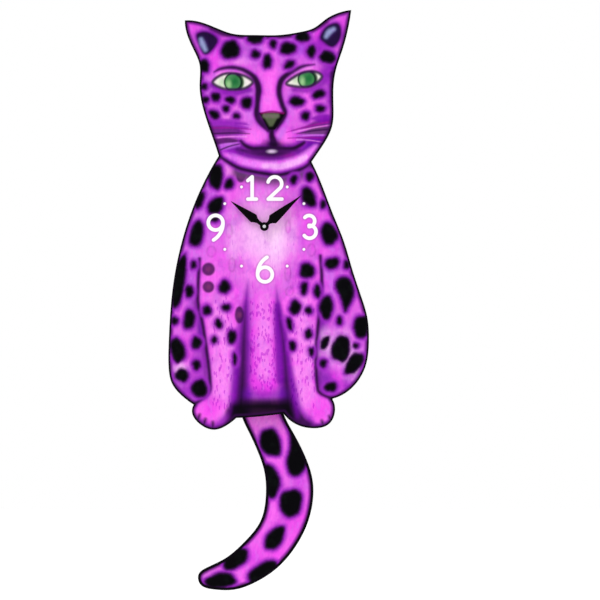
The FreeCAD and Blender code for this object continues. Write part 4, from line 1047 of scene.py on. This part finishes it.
def node_materials(art):
    """Each material, with the CAD nodes it covers."""
    return {
        hardboard_material(): ("body_board", "tail_board"),
        moulded("case_plastic", srgb(20, 20, 22), srgb(31, 31, 34), 0.5, depth=0.35):
            ("movement_front_case", "movement_rear_cover", "train_plate", "swing_arm"),
        moulded("knob_plastic", srgb(44, 44, 48), srgb(62, 62, 66), 0.42):
            ("setting_knob", "stepper_bobbin", "drive_bobbin"),
        moulded("wheel_plastic", srgb(222, 220, 212), srgb(240, 238, 230), 0.35, depth=0.08,
                subsurface=0.15):
            ("hour_wheel", "minute_wheel", "centre_wheel", "third_wheel", "fourth_wheel",
             "fifth_wheel", "rotor_pinion"),
        metal("brass", srgb(176, 132, 58), srgb(222, 182, 96), 0.28, lines=(2200, 60, 2200),
              tarnish=srgb(112, 80, 42)):
            ("centre_bushing", "clutch_spring"),
        metal("arbor_steel", srgb(214, 215, 220), srgb(240, 240, 244), 0.2): ("minute_arbor",),
        metal("plated_steel", srgb(168, 168, 172), srgb(206, 207, 212), 0.3,
              tarnish=srgb(140, 132, 120)):
            ("movement_screws", "hanger_plate", "hanger_screws", "train_plate_screws",
             "tail_screws", "pivot_pin", "positive_contact", "negative_contact",
             "quartz_crystal", "battery_can", "battery_cap"),
        metal("magnet_iron", srgb(104, 104, 108), srgb(150, 150, 154), 0.4,
              tarnish=srgb(88, 78, 70)):
            ("stator", "coil_core"),
        metal("magnet", srgb(150, 148, 144), srgb(190, 188, 184), 0.22):
            ("drive_magnet", "rotor_magnet"),
        hand_material(): ("hour_hand", "minute_hand", "hand_nut"),
        winding_material(): ("stepper_winding", "drive_winding"),
        board_material(): ("clock_circuit_board", "drive_circuit_board"),
        epoxy_material(): ("clock_chip",),
        sleeve_material(): ("battery_sleeve",),
        filling_material(): ("battery_filling",),
        art: ("body_print", "tail_print"),
    }


def dress_nodes(art):
    """Gives every CAD node its material."""
    for material, names in node_materials(art).items():
        for name in names:
            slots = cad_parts[name].data.materials
            slots.clear()
            slots.append(material)


# ---- studio ----
FLOOR_DROP, FLOOR_HALF = 0.45, 12.0
FLOOR_WHITES = srgb(247, 247, 247), srgb(251, 251, 251)
WORLD_LIGHT, WORLD_SEEN = 0.78, 1.0
LENS = 300.0
SENSOR = 36.0
VIEW_WIDTH = 0.4074
VIEW_CENTRE_DX, VIEW_CENTRE_DZ = 0.0242, -0.0499


def studio_world():
    world = bpy.data.worlds.new("studio")
    bpy.context.scene.world = world
    world.use_nodes = True
    tree = world.node_tree
    background = next(n for n in tree.nodes if n.type == "BACKGROUND")
    seen = tree.nodes.new("ShaderNodeLightPath").outputs["Is Camera Ray"]
    strength = tree.nodes.new("ShaderNodeMapRange")
    strength.inputs["To Min"].default_value = WORLD_LIGHT
    strength.inputs["To Max"].default_value = WORLD_SEEN
    tree.links.new(seen, strength.inputs["Value"])
    tree.links.new(strength.outputs["Result"], background.inputs["Strength"])
    background.inputs["Color"].default_value = (1, 1, 1, 1)


def sun(name, strength, tilt, turn, spread):
    """A soft distant lamp: tilt from straight down, turned about the vertical, in degrees."""
    lamp = bpy.data.lights.new(name, "SUN")
    lamp.energy = strength
    lamp.angle = math.radians(spread)
    holder = add_object(name, lamp)
    holder.rotation_euler = (math.radians(tilt), 0, math.radians(turn))


def floor():
    lo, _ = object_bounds()
    mesh = bpy.data.meshes.new("floor")
    square = ((-1, -1), (1, -1), (1, 1), (-1, 1))
    mesh.from_pydata([(x * FLOOR_HALF, y * FLOOR_HALF, lo.z - FLOOR_DROP) for x, y in square],
                     [], [(0, 1, 2, 3)])
    plane = add_object("floor", mesh)
    s = Shader("floor", Roughness=0.8, Specular_IOR_Level=0.1)
    s.set("Base Color", s.mix(s.noise(6, 2.0), *FLOOR_WHITES))
    mesh.materials.append(s.material)
    plane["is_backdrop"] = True


def camera():
    """Level camera square to the dial, far enough back for the lens."""
    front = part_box("body_print")[0].y
    lens = bpy.data.cameras.new("camera")
    lens.lens = LENS
    lens.sensor_width = SENSOR
    lens.clip_end = 100
    holder = add_object("camera", lens)
    distance = VIEW_WIDTH * LENS / SENSOR
    holder.location = (DIAL_X + VIEW_CENTRE_DX, front - distance, DIAL_Z + VIEW_CENTRE_DZ)
    holder.rotation_euler = (math.pi / 2, 0, 0)
    bpy.context.scene.camera = holder


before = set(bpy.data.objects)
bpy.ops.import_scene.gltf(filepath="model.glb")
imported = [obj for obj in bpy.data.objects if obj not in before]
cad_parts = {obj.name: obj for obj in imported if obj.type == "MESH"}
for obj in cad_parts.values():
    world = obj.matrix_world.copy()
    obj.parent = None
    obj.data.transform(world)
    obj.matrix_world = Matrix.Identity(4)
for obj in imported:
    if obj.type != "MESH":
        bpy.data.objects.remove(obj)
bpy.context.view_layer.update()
bushing_lo, bushing_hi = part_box("centre_bushing")
DIAL_X = (bushing_lo.x + bushing_hi.x) / 2
DIAL_Z = (bushing_lo.z + bushing_hi.z) / 2

art_material = print_material()
dress_nodes(art_material)
printed_sheet("body_art", "body_print", "clock", body_painter, ORCHID, BODY_OUTLINE_W,
              art_material)
printed_sheet("tail_art", "tail_print", "tail", paint_tail, PINK, TAIL_OUTLINE_W, art_material)
studio_world()
sun("key", strength=1.0, tilt=40, turn=-28, spread=24)
sun("back_fill", strength=0.7, tilt=-48, turn=30, spread=40)
floor()
camera()
bpy.context.scene.view_settings.view_transform = "Standard"
